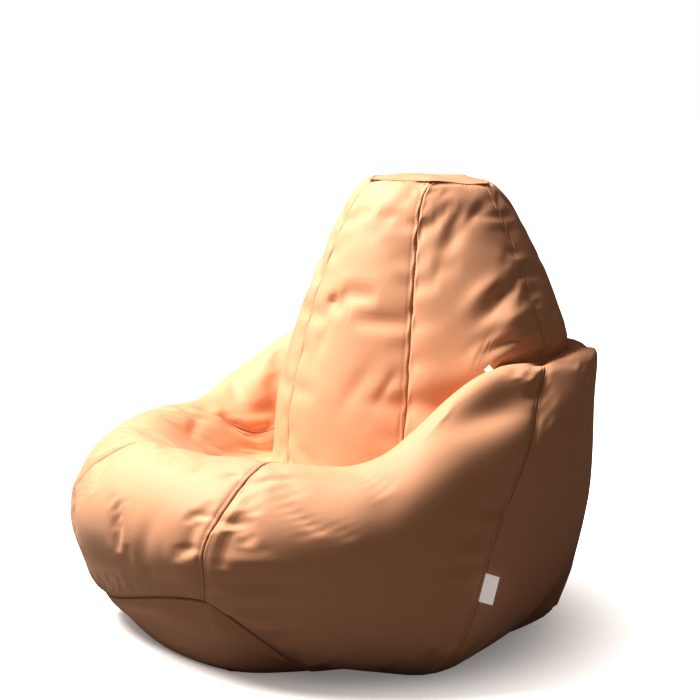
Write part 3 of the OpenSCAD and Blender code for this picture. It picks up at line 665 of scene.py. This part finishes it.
def baseColumns():
    # each column of the base from its seam down to the floor patch
    s = angles[0]
    seam = skin(s, s * 0)
    away = offRear(s)[:, None]
    t = np.linspace(0, 1, 65)[:, None, None]
    size = np.linalg.norm(seam[:, :2], axis=-1)[:, None]
    patch = np.minimum(cover["contactShare"] * size, cover["contactRadius"])
    share = 1 - (1 - patch / size) * t ** 1.25
    flat = seam[None, :, :2] * share - [0, cover["baseBack"]] * t
    rolled = np.concatenate([flat, seam[None, :, 2:] * (1 - t) ** 1.5], -1)
    kx, ky = 1 - 0.0147 / 0.425, 1 - 0.0147 / 0.43
    under = seam * [kx, ky, 1 - cover["hemRise"] / 0.024]
    floor = seam * [0.92, 0.92, 0] - [0, cover["baseBack"], 0]
    straight = np.where(t < 0.5, seam + (under - seam) * t * 2, under + (floor - under) * (t * 2 - 1))
    curve = straight * (1 - away) + rolled * away
    pitch = np.fft.rfftfreq(len(s))[None, :, None] * 2 * math.pi
    blur = np.exp(-(pitch * cover["baseBlur"] * smooth(0, 0.5, t)) ** 2 / 2)
    blurred = np.fft.irfft(np.fft.rfft(curve, axis=1) * blur, len(s), axis=1)
    curve = curve + (blurred - curve) * away
    run = np.cumsum(np.linalg.norm(np.diff(curve, axis=0), axis=-1), 0)
    run = np.concatenate([np.zeros((1, len(s))), run])
    rows, dist = [], []
    steps = 16
    for k in range(len(nearSeam) - 1 + steps):
        if k < len(nearSeam) - 1:
            gap = np.where(nearZip[0], cover["zipGap"], 0)
            d = gap + nearSeam[k] * np.minimum(1, run[-1] / 0.04)
        else:
            f = (k - len(nearSeam) + 2) / steps
            d = last + (run[-1] - last) * f
        if k == len(nearSeam) - 2:
            last = d
        read = [[np.interp(d[c], run[:, c], curve[:, c, m]) for c in range(len(s))] for m in range(3)]
        rows.append(np.stack(read, -1))
        dist.append(d)
    return np.array(rows), np.array(dist)


basePoints, baseDistance = baseColumns()
baseOut = -normals(basePoints)
toPatch = baseDistance[-1] - baseDistance
baseLift = plainSide(baseDistance) * smooth(0, 0.01, toPatch) \
    + 0.5 * sunk(baseDistance) * smooth(0, 0.02, toPatch)
baseSkin = basePoints + baseOut * baseLift[..., None]
baseSkin[0] = outside[0]
baseSkin[..., 2] = np.maximum(baseSkin[..., 2], 0)
baseInside = baseSkin - baseOut * cover["thickness"]
baseInside[0] = inside[0]
print("base drawn")


def discPiece(name, rings, insideRings, finish, seamShadeAndWear, flip):
    # a sheet that closes over its middle
    rows, cols = rings.shape[:2]
    n = rows * cols
    sheets = [(sheet.reshape(-1, 3), [sheet[-1].mean(0)]) for sheet in (rings, insideRings)]
    points = np.vstack([part for sheet in sheets for part in sheet])
    faces = gridFaces(rows, cols, True, 0, flip).tolist()
    faces += gridFaces(rows, cols, True, n + 1, not flip).tolist()
    top = (rows - 1) * cols
    for c in range(cols):
        d = (c + 1) % cols
        cap = [top + c, top + d, n]
        under = [n + 1 + top + d, n + 1 + top + c, 2 * n + 1]
        rim = [c, n + 1 + c, n + 1 + d, d]
        faces += [cap[::-1], under[::-1], rim[::-1]] if flip else [cap, under, rim]
    both = np.concatenate([seamShadeAndWear.ravel(), [0], seamShadeAndWear.ravel() * 0, [0]])
    return makePiece(name, points, faces, finish, seamShadeAndWear=both)


def innerRings(edge, middle, shares):
    return np.array([middle + (edge - middle) * k for k in shares])


floorShares = [0.96, 0.88, 0.7, 0.45, 0.2]
floorMiddle, lifted = np.array([0, -cover["baseBack"], 0]), np.array([0, 0, cover["thickness"]])
floorRings = innerRings(baseSkin[-1], floorMiddle, floorShares)
liftedRings = innerRings(baseInside[-1] * [1, 1, 0] + lifted, floorMiddle + lifted, floorShares)
rings = np.concatenate([baseSkin, floorRings])
# painted shade in the base seam's groove, and rougher there
baseSeamShadeAndWear = np.concatenate([np.exp(-(baseDistance / 0.0013) ** 2), np.zeros(floorRings.shape[:2])])
basePiece = discPiece("base_panel_cloth", rings, np.concatenate([baseInside, liftedRings]), finishes["cover"],
                      baseSeamShadeAndWear, True)
place(basePiece, "bag", "cover_leatherette", "base_panel")

capShape = {"rise": 0.007, "sink": 0.001, "shares": [0.72, 0.56, 0.4, 0.25, 0.1]}
edge = outside[-1]
middle = np.array([0, hoops[topRow, 0], hoops[topRow, 4] - capShape["sink"]])
flat = base[-1]
reach = np.linalg.norm((flat - middle)[:, :2], axis=-1)
capRows, capDistances = [], []
capShares = [1 - d / reach for d in nearSeam] + [np.full_like(reach, k) for k in capShape["shares"]]
for share in capShares:
    p = middle + (flat - middle) * share[:, None]
    p[:, 2] += (1 - share ** 2) * capShape["rise"] * smooth(0, 0.4, 1 - share)
    capRows.append(p)
    capDistances.append((1 - share) * reach)
capPoints, capRun = np.array(capRows), np.array(capDistances)
capOut = normals(capPoints)
capLift = lipSide(capRun) + sunk(capRun) * 0.6 \
    + 0.0012 * ripple(capPoints, 5, 0.07) * smooth(0.008, 0.03, capRun)
capSkin = capPoints + capOut * capLift[..., None]
capSkin[0] = edge
capInside = capSkin - capOut * cover["thickness"]
capInside[0] = inside[-1]
# painted shade in the cap seam's groove, and rougher there
capSeamShadeAndWear = np.exp(-(capRun / 0.0013) ** 2)
capPiece = discPiece("top_cap_cloth", capSkin, capInside, finishes["cover"], capSeamShadeAndWear, False)
place(capPiece, "bag", "cover_leatherette", "top_cap")
print("base and cap sewn")

stitch = {"pitch": 0.0062, "length": 0.0047, "width": 0.0011, "height": 0.0007}


def stitchRun(path, outward, closed=False):
    # centres, directions and outward sides of the stitches along a line
    if closed:
        path, outward = np.vstack([path, path[:1]]), np.vstack([outward, outward[:1]])
    run = np.append(0, np.cumsum(np.linalg.norm(np.diff(path, axis=0), axis=1)))
    at = np.arange(stitch["pitch"], run[-1] - stitch["pitch"] / 2, stitch["pitch"])

    def read(x, field):
        return np.stack([np.interp(x, run, field[:, m]) for m in range(3)], -1)

    half = stitch["length"] / 2
    return read(at, path), unit(read(at + half, path) - read(at - half, path)), unit(read(at, outward))


def stitchPiece(name, runs, finish):
    centre, along, up = (np.vstack(x) for x in zip(*runs))
    side = np.cross(up, along)
    stations = [(-0.5, 0.25, -0.5), (-0.36, 0.8, 0.1), (0, 1, 0.3), (0.36, 0.8, 0.1), (0.5, 0.25, -0.5)]
    ring = [(math.cos(a), math.sin(a)) for a in np.radians(np.arange(6) * 60)]
    size = np.array([stitch["length"], stitch["width"] / 2, stitch["height"]])
    local = np.array([[x, c * w, s * w * 0.6 + z] for x, w, z in stations for c, s in ring]) * size
    points = centre[:, None] + local[None, :, 0:1] * along[:, None] \
        + local[None, :, 1:2] * side[:, None] + local[None, :, 2:3] * up[:, None]
    one = gridFaces(5, 6, True, 0, True).tolist() + [[0, 1, 2, 3, 4, 5], [29, 28, 27, 26, 25, 24]]
    faces = [[i + k * 30 for i in f] for k in range(len(centre)) for f in one]
    return makePiece(name, points.reshape(-1, 3), faces, finish)


stitchCol = perPanel - list(nearSeam).index(0.0072)
skinOut = normals(outside)
firstRow = int(np.argmax(rowV >= 0.75))
sideRuns = []
for k in range(6):
    column = (k * perPanel + stitchCol) % outside.shape[1]
    sideRuns.append(stitchRun(outside[firstRow:-4, column], skinOut[firstRow:-4, column]))
place(stitchPiece("side_seam_stitches", sideRuns, finishes["thread"]), "bag", "stitching", "side_seam_thread")
hemRow = int(np.argmin(np.abs(rowV * cover["hem"] - cover["stitchIn"])))
hemRun = stitchRun(outside[hemRow], skinOut[hemRow], True)
place(stitchPiece("base_seam_stitches", [hemRun], finishes["thread"]), "bag", "stitching", "base_seam_thread")
capRow = list(nearSeam).index(0.0072)
capStitches = stitchRun(capSkin[capRow], capOut[capRow], True)
capThread = stitchPiece("cap_seam_stitches", [capStitches], finishes["thread"])
place(capThread, "bag", "stitching", "cap_seam_thread")
print("seams stitched")

label = {"length": 0.05, "width": 0.0245, "thick": 0.0008, "height": 0.185, "curl": 0.004}


def makeLabel():
    column = 2 * perPanel + 1
    row = int(np.argmin(np.abs(outside[:, column, 2] - label["height"])))
    anchor, up = outside[row, column], skinOut[row, column]
    along = unit(outside[row + 3, column] - outside[row - 3, column])
    away = unit(np.cross(along, up))
    if np.dot(away, outside[row, column + 4] - anchor) < 0:
        away = -away
    x = np.linspace(-0.5, 0.5, 21)[None, :, None] * label["length"]
    y = np.linspace(0, 1, 13)[:, None, None]
    wave = 0.0012 * np.sin(x / label["length"] * 5 + y * 2)
    height = 0.0022 + label["curl"] * y ** 1.5 + wave * y
    face = anchor + along * x + away * (y * label["width"] - 0.001) + up * height
    face = face[:, ::-1]
    return sheetPiece("side_label_cloth", face + up * label["thick"], face, finishes["label"])


place(makeLabel(), "bag", "label_cloth", "side_label")

liner = {"gap": 0.0045, "creaseGap": 0.004, "thickness": 0.0006, "roof": 0.8375}
linerRows = np.nonzero((rowV >= 1) & (rowV <= topRow - 0.25))[0]
linerCols = np.arange(0, outside.shape[1], 2)
shell = base + out * lowestNear(np.minimum(broad, sunk(fromSeam)), 4)[..., None]  # clear of every dent
shell = shell[linerRows][:, linerCols]
shellOut = out[linerRows][:, linerCols]


def lining(depth):
    seam = basePoints[0][linerCols]
    floorEdge = seam * [0.84, 0.84, 0] + [0, -cover["baseBack"], 0.003 + depth]
    low = (seam * [0.955, 0.955, 1] + [0, 0, 0.012]) * [1 - depth * 2, 1 - depth * 2, 1]
    roof = base[-1][linerCols]
    roof = middle + (roof - middle) * 0.88
    roof[:, 2] = liner["roof"]
    clear = liner["gap"] + liner["creaseGap"] * np.exp(-((rowV[linerRows][:, None, None] - 8.3) / 1.1) ** 2)
    body = shell - shellOut * (clear + cover["thickness"] + depth)
    return np.concatenate([[floorEdge], [low], body, [roof - unit(roof - middle) * depth]])


sideWall = sheetPiece("liner_side_wall_cloth", lining(0), lining(liner["thickness"]), finishes["liner"], True)
place(sideWall, "bag", "liner_cloth", "liner_side_wall")


def closedRings(name, rings, finish):
    points = np.vstack([rings.reshape(-1, 3), [rings[0].mean(0)], [rings[-1].mean(0)]])
    return makePiece(name, points, closedFaces(*rings.shape[:2]), finish)


beadRings = lining(liner["thickness"] + 0.0004)
beadRings[-1] = beadRings[-2] + (beadRings[-1] - beadRings[-2]) * 0.5
filling = closedRings("bead_filling_beads", beadRings, finishes["beads"])
place(filling, "bag", "beads", "bead_filling")
print("liner and filling made")


def flatSheet(name, ring, thickness, finish, hole=None):
    # a flat cut of cloth with the outline of a ring, and a slot where a zip sits
    centre = ring.mean(0)
    if hole:
        a = np.unwrap(np.arctan2(ring[:, 1] - centre[1], ring[:, 0] - centre[0]))
        power = (np.abs(np.cos(a) / hole[0]) ** 8 + np.abs(np.sin(a) / hole[1]) ** 8) ** (-1 / 8)
        slot = centre + np.stack([np.cos(a) * power, np.sin(a) * power, a * 0], -1)
        rings = np.array([ring + (slot - ring) * k for k in (0, 0.3, 0.6, 0.85, 1)])
        return sheetPiece(name, rings, rings - [0, 0, thickness], finish, True)
    return closedRings(name, np.concatenate([[ring - [0, 0, thickness]], [ring]]), finish)


low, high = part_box("liner_base")
ring = lining(0)[0]
ring[:, 2] = high.z
linerBase = flatSheet("liner_base_cloth", ring, high.z - low.z, finishes["liner"])
place(linerBase, "bag", "liner_cloth", "liner_base")
low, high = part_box("liner_top")
ring = lining(0)[-1]
ring[:, 2] = high.z
place(flatSheet("liner_top_cloth", ring, high.z - low.z, finishes["liner"], (0.0785, 0.0056)),
      "bag", "liner_cloth", "liner_top")

coverZip = {
    "length": 0.388, "tapeFrom": 0.0025, "tapeWidth": 0.013, "tapeThick": 0.0006, "chainThick": 0.0025,
    "pitch": 0.003, "plate": 0.0012, "gap": 0.00025, "sliderLength": 0.013, "sliderWidth": 0.009,
}
linerZip = {
    "length": 0.15, "tapeFrom": 0.0025, "tapeWidth": 0.009, "tapeThick": 0.0005, "chainThick": 0.0016,
    "pitch": 0.0025, "plate": 0.0008, "gap": 0.00025, "sliderLength": 0.013, "sliderWidth": 0.009,
}


def middleOf(*nodes):
    corners = [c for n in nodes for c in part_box(n)]
    return np.array([(min(c[k] for c in corners) + max(c[k] for c in corners)) / 2 for k in range(3)])


slant = math.sqrt(0.5)
coverZipFrame = (middleOf("cover_zip_teeth_upper", "cover_zip_teeth_lower"),
                 np.array([[1, 0, 0], [0, -slant, -slant], [0, slant, -slant]]))
linerZipFrame = (middleOf("liner_zip_teeth"), np.eye(3))


def inFrame(points, spot):
    return spot[0] + np.asarray(points) @ spot[1]


def boxPoints(low, high, taper=0.0):
    # a block with its top edges drawn in
    out = []
    for z, t in ((low[2], 0), (high[2] - taper, 0), (high[2], taper)):
        out += [(low[0] + t, low[1] + t, z), (high[0] - t, low[1] + t, z),
                (high[0] - t, high[1] - t, z), (low[0] + t, high[1] - t, z)]
    return out


def tapeSheet(zipper, side):
    xs = np.linspace(-zipper["length"] / 2 - 0.003, zipper["length"] / 2 + 0.003, 131)
    ys = np.array([0, 0.0006, 0.0012, 0.35, 0.6, 0.85, 0.93, 0.97, 1.0])
    ys[3:] = ys[3:] * zipper["tapeWidth"]
    x, y = np.meshgrid(xs, ys + zipper["tapeFrom"], indexing="ij")
    rib = 0.00012 * np.sin(y * 2 * math.pi / 0.0022)
    half = zipper["tapeThick"] / 2
    upper = np.stack([x, -y if side < 0 else y, half - 0.0001 + rib], -1)
    lower = np.stack([x, -y if side < 0 else y, -half + 0.0001 + rib], -1)
    return (upper, lower) if side < 0 else (lower, upper)


def toothRow(zipper, side):
    # one row of coil teeth: a rounded loop for each tooth, with a head towards the other row
    points, faces = [], []
    half = zipper["chainThick"] / 2
    count = int(zipper["length"] / zipper["pitch"]) - 1
    for k in range(count):
        x0 = -zipper["length"] / 2 + (k + 0.6 + (0.5 if side > 0 else 0)) * zipper["pitch"]
        outline = [(-0.0025, 0.5), (-0.0012, 0.52), (-0.0008, 0.8), (-0.0006, 0.8), (-0.00052, 0.5)]
        start = len(points)
        for y, w in outline:
            w *= zipper["pitch"] * 0.4
            for a in np.radians([30, 90, 150, 210, 270, 330]):
                points.append((x0 + w * math.cos(a), y * -side, half * math.sin(a)))
        faces += [[i + start for i in f] for f in gridFaces(5, 6, True, 0, side > 0).tolist()]
        caps = [[5, 4, 3, 2, 1, 0], [24, 25, 26, 27, 28, 29]]
        faces += [[i + start for i in (c[::-1] if side > 0 else c)] for c in caps]
    ends = (-zipper["length"] / 2, zipper["length"] / 2)
    cord = np.array([[x, -side * (-0.0021 + 0.0003 * math.cos(a)), half * 0.6 * math.sin(a)]
                     for x in ends for a in np.radians(np.arange(8) * 45)])
    start = len(points)
    points += cord.tolist()
    faces += [[start + i for i in f] for f in gridFaces(2, 8, True, 0, side > 0).tolist()]
    faces += [[start + i for i in range(8)], [start + 15 - i for i in range(8)]]
    return points, faces


def makeTape(name, zipper, spot, sides, finish):
    grids = [tapeSheet(zipper, side) for side in sides]
    pieces = [sheetPiece(name, inFrame(a, spot), inFrame(b, spot), finish) for a, b in grids]
    return joined(pieces)


def joined(pieces):
    if len(pieces) > 1:
        bpy.ops.object.select_all(action="DESELECT")
        for p in pieces:
            p.select_set(True)
        bpy.context.view_layer.objects.active = pieces[0]
        bpy.ops.object.join()
    return pieces[0]


def makeTeeth(name, zipper, spot, sides, finish):
    return joined([makePiece(name, inFrame(p, spot), f, finish, 50)
                   for p, f in (toothRow(zipper, side) for side in sides)])


def block(points):
    faces = [[3, 2, 1, 0], [8, 9, 10, 11]]
    for r in (0, 4):
        faces += [[r + k, r + (k + 1) % 4, r + 4 + (k + 1) % 4, r + 4 + k] for k in range(4)]
    return points, faces


def bevelled(piece, width, segments=2):
    modifier = piece.modifiers.new("Bevel", "BEVEL")
    modifier.width, modifier.segments = width, segments
    modifier.limit_method = "ANGLE"
    return piece


def makeStops(name, zipper, spot, finish):
    pieces = []
    for end in (-1, 1):
        x = end * (zipper["length"] + 0.003) / 2
        h = zipper["chainThick"] / 2
        low, high = (x - 0.0015, -0.0025, -h), (x + 0.0015, 0.0025, h)
        p, f = block(boxPoints(low, high))
        pieces.append(makePiece(name, inFrame(p, spot), f, finish, 40))
    return bevelled(joined(pieces), 0.0005)


def extruded(outline, low, high):
    n = len(outline)
    points = [(x, y, z) for z in (low, high) for x, y in outline]
    faces = [list(range(n))[::-1], [n + k for k in range(n)]]
    faces += [[k, (k + 1) % n, n + (k + 1) % n, n + k] for k in range(n)]
    return points, faces


def onItsSide(solid):
    # the same solid with its thickness along y
    points, faces = solid
    return [(a, c, b) for a, b, c in points], [g[::-1] for g in faces]


def sliderOutline(zipper):
    # a slider's plate: two shoulders at the mouth, drawn in to the throat
    half, reach = zipper["sliderWidth"] / 2, zipper["sliderLength"] / 2
    right = [(-reach, 0.62 * half), (-0.75 * reach, 0.7 * half), (-0.2 * reach, 0.8 * half),
             (0.35 * reach, half), (0.8 * reach, half), (reach, 0.72 * half), (0.92 * reach, 0.3 * half)]
    return [(x, -y) for x, y in right] + [(x, y) for x, y in right[::-1]]


def makeSlider(name, zipper, spot, at, finish):
    origin = (spot[0] + at * spot[1][0], spot[1])
    level = zipper["chainThick"] / 2 + zipper["gap"]
    outline = sliderOutline(zipper)
    reach = zipper["sliderLength"] / 2
    pieces = []
    for low, high in ((level, level + zipper["plate"]), (-level - zipper["plate"], -level)):
        p, f = extruded(outline, low, high)
        pieces.append(makePiece(name, inFrame(p, origin), f, finish, 40))
    corners = ((0.0026, -0.0003), (0.0012, -0.0003), (0.0012, 0.0003), (0.0026, 0.0003))
    wedge = [(reach - x, y) for x, y in corners]
    p, f = extruded(wedge, -level - 0.0004, level + 0.0004)
    pieces.append(makePiece(name, inFrame(p, origin), f, finish, 40))
    return pieces, origin, level + zipper["plate"]


def tube(path, radius, sides=10):
    # a round bar along a path in a zip's own frame
    path = np.asarray(path, float)
    way = unit(np.gradient(path, axis=0))
    side = unit(np.cross(way, [0.3, 0.2, 1.0]))
    up = np.cross(way, side)
    rings = [path[k] + radius * (math.cos(a) * side[k] + math.sin(a) * up[k])
             for k in range(len(path)) for a in np.radians(np.arange(sides) * 360 / sides)]
    faces = gridFaces(len(path), sides, True, 0, True).tolist()
    n = len(rings)
    return rings, faces + [list(range(sides)), list(range(n - 1, n - sides - 1, -1))]


pull = {
    "bar": 0.0009, "postGap": 0.0018, "postWidth": 0.001, "level": 0.0049,
    "length": 0.027, "width": 0.0075, "thick": 0.0016,
}
sliderAt = middleOf("cover_zip_slider")[0]
parts, sliderFrame, sliderTop = makeSlider(
    "cover_zip_slider_body", coverZip, coverZipFrame, sliderAt, finishes["zinc"])
postOutline = [(-0.0019, sliderTop - 0.0003), (0.0019, sliderTop - 0.0003), (0.0013, pull["level"]),
               (0.0009, 0.0058), (0, 0.0061), (-0.0009, 0.0058), (-0.0013, pull["level"])]
for side in (-1, 1):
    y, half = side * (pull["postGap"] + pull["postWidth"] / 2), pull["postWidth"] / 2
    p, f = onItsSide(extruded(postOutline, y - half, y + half))
    parts.append(makePiece("post", inFrame(p, sliderFrame), f, finishes["zinc"], 40))
p, f = tube([(0, y, pull["level"]) for y in np.linspace(-0.0022, 0.0022, 5)], pull["bar"], 16)
parts.append(makePiece("bar", inFrame(p, sliderFrame), f, finishes["zinc"], 40))
slider = bevelled(joined(parts), 0.00025)
place(slider, "zip_slider", "zip_metal", "cover_zip_slider")


def pullPiece():
    # the pull: an eye round the bar, a neck and a rounded plate with a hole
    half, thick = pull["width"] / 2, pull["thick"] / 2
    eye, neck = 0.0019, 0.0014
    tip = -pull["length"] + half
    turn = np.radians(np.linspace(90, 270, 15))
    rim = [(-0.0042, neck), (-0.0062, half)] \
        + [(tip + half * math.cos(a), half * math.sin(a)) for a in turn] \
        + [(-0.0062, -half), (-0.0042, -neck), (-0.0015, -neck), (-0.0015, neck)]
    hole = [(tip + half / 2 * math.cos(a), half / 2 * math.sin(a)) for a in np.radians(np.arange(24) * 15)]
    parts = [ringPlate(rim, hole, -thick, thick)]
    round24 = [(math.cos(a), math.sin(a)) for a in np.radians(np.arange(24) * 15)]
    ring, bore = ([(r * c, r * s) for c, s in round24] for r in (eye, 0.00097))
    parts.append(onItsSide(annulus(ring, bore, -neck, neck)))
    pieces = []
    for p, f in parts:
        p = inFrame(np.array(p) + [0, 0, pull["level"]], sliderFrame)
        pieces.append(makePiece("cover_zip_pull_tab", p, f, finishes["zinc"], 40))
    return joined(pieces)


def annulus(rim, hole, low, high):
    n = len(rim)
    points = [(x, y, z) for z in (low, high) for loop in (rim, hole) for x, y in loop]
    faces = []
    for k in range(n):
        m = (k + 1) % n
        faces += [[m, k, n + k, n + m], [2 * n + k, 2 * n + m, 3 * n + m, 3 * n + k],
                  [k, m, 2 * n + m, 2 * n + k], [n + m, n + k, 3 * n + k, 3 * n + m]]
    return points, faces


def ringPlate(rim, hole, low, high):
    # the rim is read at as many points as the hole has, at the same turns
    centre = np.mean(hole, 0)
    rim = np.array(rim)
    closed = np.vstack([rim, rim[:1]])
    run = np.append(0, np.cumsum(np.linalg.norm(np.diff(closed, axis=0), axis=1)))
    at = np.linspace(0, run[-1], 72, endpoint=False)
    edge = np.stack([np.interp(at, run, closed[:, m]) for m in range(2)], -1)
    turn = np.arctan2(edge[:, 1] - centre[1], edge[:, 0] - centre[0])
    inner = centre + 0.5 * pull["width"] / 2 * np.stack([np.cos(turn), np.sin(turn)], -1)
    return annulus(edge.tolist(), inner.tolist(), low, high)


place(bevelled(pullPiece(), 0.0003), "zip_pull", "zip_metal", "cover_zip_pull")
rows = ((-1, "upper"), (1, "lower"))
for side, row in rows:
    tape = makeTape("cover_zip_tape_" + row + "_cloth", coverZip, coverZipFrame, [side], finishes["tape"])
    place(tape, "bag", "zip_tape", "cover_zip_tape_" + row)
for side, row in rows:
    teeth = makeTeeth("cover_zip_coil_" + row, coverZip, coverZipFrame, [side], finishes["teeth"])
    place(teeth, "bag", "zip_teeth", "cover_zip_teeth_" + row)
stops = makeStops("cover_zip_stops", coverZip, coverZipFrame, finishes["zinc"])
place(stops, "bag", "zip_metal", "cover_zip_end_stops")
tapes = makeTape("liner_zip_tapes_cloth", linerZip, linerZipFrame, [-1, 1], finishes["liner"])
place(tapes, "bag", "liner_cloth", "liner_zip_tapes")
teeth = makeTeeth("liner_zip_coils", linerZip, linerZipFrame, [-1, 1], finishes["linerTeeth"])
place(teeth, "bag", "liner_zip_teeth", "liner_zip_teeth")
stops = makeStops("liner_zip_stops", linerZip, linerZipFrame, finishes["zinc"])
place(stops, "bag", "zip_metal", "liner_zip_end_stops")
sliderAt = middleOf("liner_zip_slider")[0]
parts, _, _ = makeSlider("liner_zip_slider_body", linerZip, linerZipFrame, sliderAt, finishes["zinc"])
place(bevelled(joined(parts), 0.00025), "inner_zip_slider", "zip_metal", "liner_zip_slider")
print("zips made")

strap = {
    "width": 0.025, "thick": 0.0018, "length": 0.088, "round": 0.015, "neck": 0.01, "hang": -38,
    "tab": 0.013, "rise": 58.5,
}
hinge = next(j for j in frame["joints"] if j["name"] == "carry_loop_hinge")
root = np.array(hinge["pos_m"])


def strapFrame(angle):
    a, across = math.radians(angle), unit(np.array(hinge["axis"]))
    up = np.array([0, 0, 1.0])
    away = np.cross(up, across)
    cos, sin = math.cos(a), math.sin(a)
    return root, np.array([cos * away + sin * up, cos * up - sin * away, across])


def loopPiece():
    # one strap folded into a drop; its two ends are sewn together next to the fold
    t, r, end = strap["thick"], strap["round"] - strap["thick"] / 2, strap["length"]
    tilt = math.asin((r - t / 2) / (end - strap["neck"]))
    turn = np.linspace(-math.pi / 2 - tilt, math.pi / 2 + tilt, 33)
    line = [(0.0, -t / 2), (0.005, -t / 2), (strap["neck"], -t / 2)]
    first = np.array([end + r * math.cos(turn[0]), r * math.sin(turn[0])])
    start = np.array(line[-1])
    line += [tuple(start + (first - start) * k) for k in (0.15, 0.3, 0.45, 0.6, 0.8)]
    line += [(end + r * math.cos(a), r * math.sin(a)) for a in turn]
    line += [(x, -y) for x, y in line[:8][::-1]]
    line = np.array(line)
    way = unit(np.gradient(line, axis=0))
    side = np.stack([way[:, 1], -way[:, 0]], -1)
    wide = np.array([-0.5, -0.487, -0.46, -0.4, -0.2, 0, 0.2, 0.4, 0.46, 0.487, 0.5])
    edge = np.array([0.25, 0.8, 1, 1, 1, 1, 1, 1, 1, 0.8, 0.25])
    hem = np.array([0, 0, 0, -0.15, 0, 0, 0, -0.15, 0, 0, 0])
    grids = []
    for face in (1, -1):
        grid = []
        for w, e, h in zip(wide, edge, hem):
            p = line + side * face * t / 2 * (e + h)
            grid.append(np.column_stack([p, np.full(len(p), w * strap["width"])]))
        grids.append(np.array(grid))
    f = strapFrame(strap["hang"])
    return sheetPiece("carry_loop_strap", inFrame(grids[0], f), inFrame(grids[1], f), finishes["cover"])


place(loopPiece(), "loop", "cover_leatherette", "carry_loop")


def tabPiece():
    # the flat end of the strap, doubled and sewn in under the cap
    t, width = strap["thick"], strap["width"]
    xs = np.linspace(-strap["tab"] - 1.8 * t, -1.0 * t, 12)
    ys = np.array([-0.5, -0.47, -0.4, 0, 0.4, 0.47, 0.5])
    x, y = np.meshgrid(xs, ys, indexing="ij")
    high = t * np.where(np.abs(y) > 0.48, 0.6, 1.0) - 0.0002 * (np.abs(np.abs(y) - 0.4) < 0.01)
    f = strapFrame(strap["rise"])
    grids = [inFrame(np.stack([x, k * high, y * width], -1), f) for k in (-1, 1)]
    return sheetPiece("carry_loop_tab_strap", grids[0], grids[1], finishes["cover"])


place(tabPiece(), "bag", "cover_leatherette", "carry_loop_tab")
print("carry loop made")

# The floor's painted glow rises from nearWhite to allWhite out from the middle, hiding the bag's cast shadow
# beyond the contact shadow.
room = {
    "floor": (0.86, 0.855, 0.85, 1), "floorDark": (0.80, 0.795, 0.79, 1), "floorBack": (0.2, 0.19, 0.18, 1),
    "nearWhite": 0.32, "allWhite": 0.66, "ambient": (0.21, 0.155, 0.115, 1), "size": 30, "gamma": 0.72,
}
black, white = (0, 0, 0, 1), (1, 1, 1, 1)


def floorFinish():
    # pale to the eye, with a painted glow for the camera only that rises to white away from the bag and
    # washes out its cast shadow there; it throws little light back
    p = Paint("floor", Specular_IOR_Level=0.1, Emission_Strength=1.0)
    at = p.where()
    seen = p.add("ShaderNodeLightPath", output="Is Camera Ray")
    tone = p.mix(p.noise(at, 3.0), room["floorDark"], room["floor"])
    far = p.add("ShaderNodeVectorMath", {"operation": "LENGTH"}, {0: at}, "Value")
    far = p.add("ShaderNodeMapRange", {"interpolation_type": "SMOOTHSTEP"},
                {0: far, 1: room["nearWhite"], 2: room["allWhite"]})
    # Emission: a painted glow for camera rays, a quarter near the bag and full further out
    return p.set(Base_Color=p.mix(seen, room["floorBack"], tone), Roughness=p.noise(at, 12.0) * 0.1 + 0.8,
                 Emission_Color=p.mix(seen * (far * 0.75 + 0.25), black, white))


def makeFloor():
    corners = [(x * room["size"], y * room["size"], 0) for x, y in ((-1, -1), (1, -1), (1, 1), (-1, 1))]
    makePiece("floor", corners, [[0, 1, 2, 3]], floorFinish())


class SkyPaint(Paint):
    # the world's background, made the same way as a material
    def __init__(self, name):
        self.material = bpy.data.worlds.new(name)
        self.material.use_nodes = True
        self.tree = self.material.node_tree
        self.shader = self.tree.nodes["Background"]


def areaLight(name, at, aim, size, power, colour=(1, 1, 1)):
    data = bpy.data.lights.new(name, "AREA")
    data.shape = "DISK"
    data.size, data.energy, data.color = size, power, colour
    lamp = bpy.data.objects.new(name, data)
    lamp.location = at
    lamp.rotation_euler = (Vector(aim) - Vector(at)).to_track_quat("-Z", "Y").to_euler()
    bpy.context.collection.objects.link(lamp)


makeFloor()
sky = SkyPaint("studio")
seen = sky.add("ShaderNodeLightPath", output="Is Camera Ray")
bpy.context.scene.world = sky.set(Color=sky.mix(seen, room["ambient"], white))
areaLight("key", (-0.9, -2.2, 4.1), (0.0, 0.0, 0.45), 2.0, 430, (1.0, 0.98, 0.95))
areaLight("fill", (3.2, 1.5, 2.4), (0.0, 0.0, 0.45), 2.5, 4)
bpy.context.scene.view_settings.view_transform = "Standard"
bpy.context.scene.view_settings.gamma = room["gamma"]
print("room lit")

view = {"azimuth": 64.8, "elevation": 8.8, "distance": 3.434, "target": (0.015, 0.034, 0.53), "lens": 92.3}
turn, rise = math.radians(view["azimuth"]), math.radians(view["elevation"])
back = Vector((math.sin(turn) * math.cos(rise), -math.cos(turn) * math.cos(rise), math.sin(rise)))
cameraData = bpy.data.cameras.new("camera")
cameraData.lens = view["lens"]
cameraData.sensor_width = 36
cameraData.clip_end = 100
camera = bpy.data.objects.new("camera", cameraData)
camera.location = Vector(view["target"]) + back * view["distance"]
camera.rotation_euler = back.to_track_quat("Z", "Y").to_euler()
bpy.context.collection.objects.link(camera)
bpy.context.scene.camera = camera
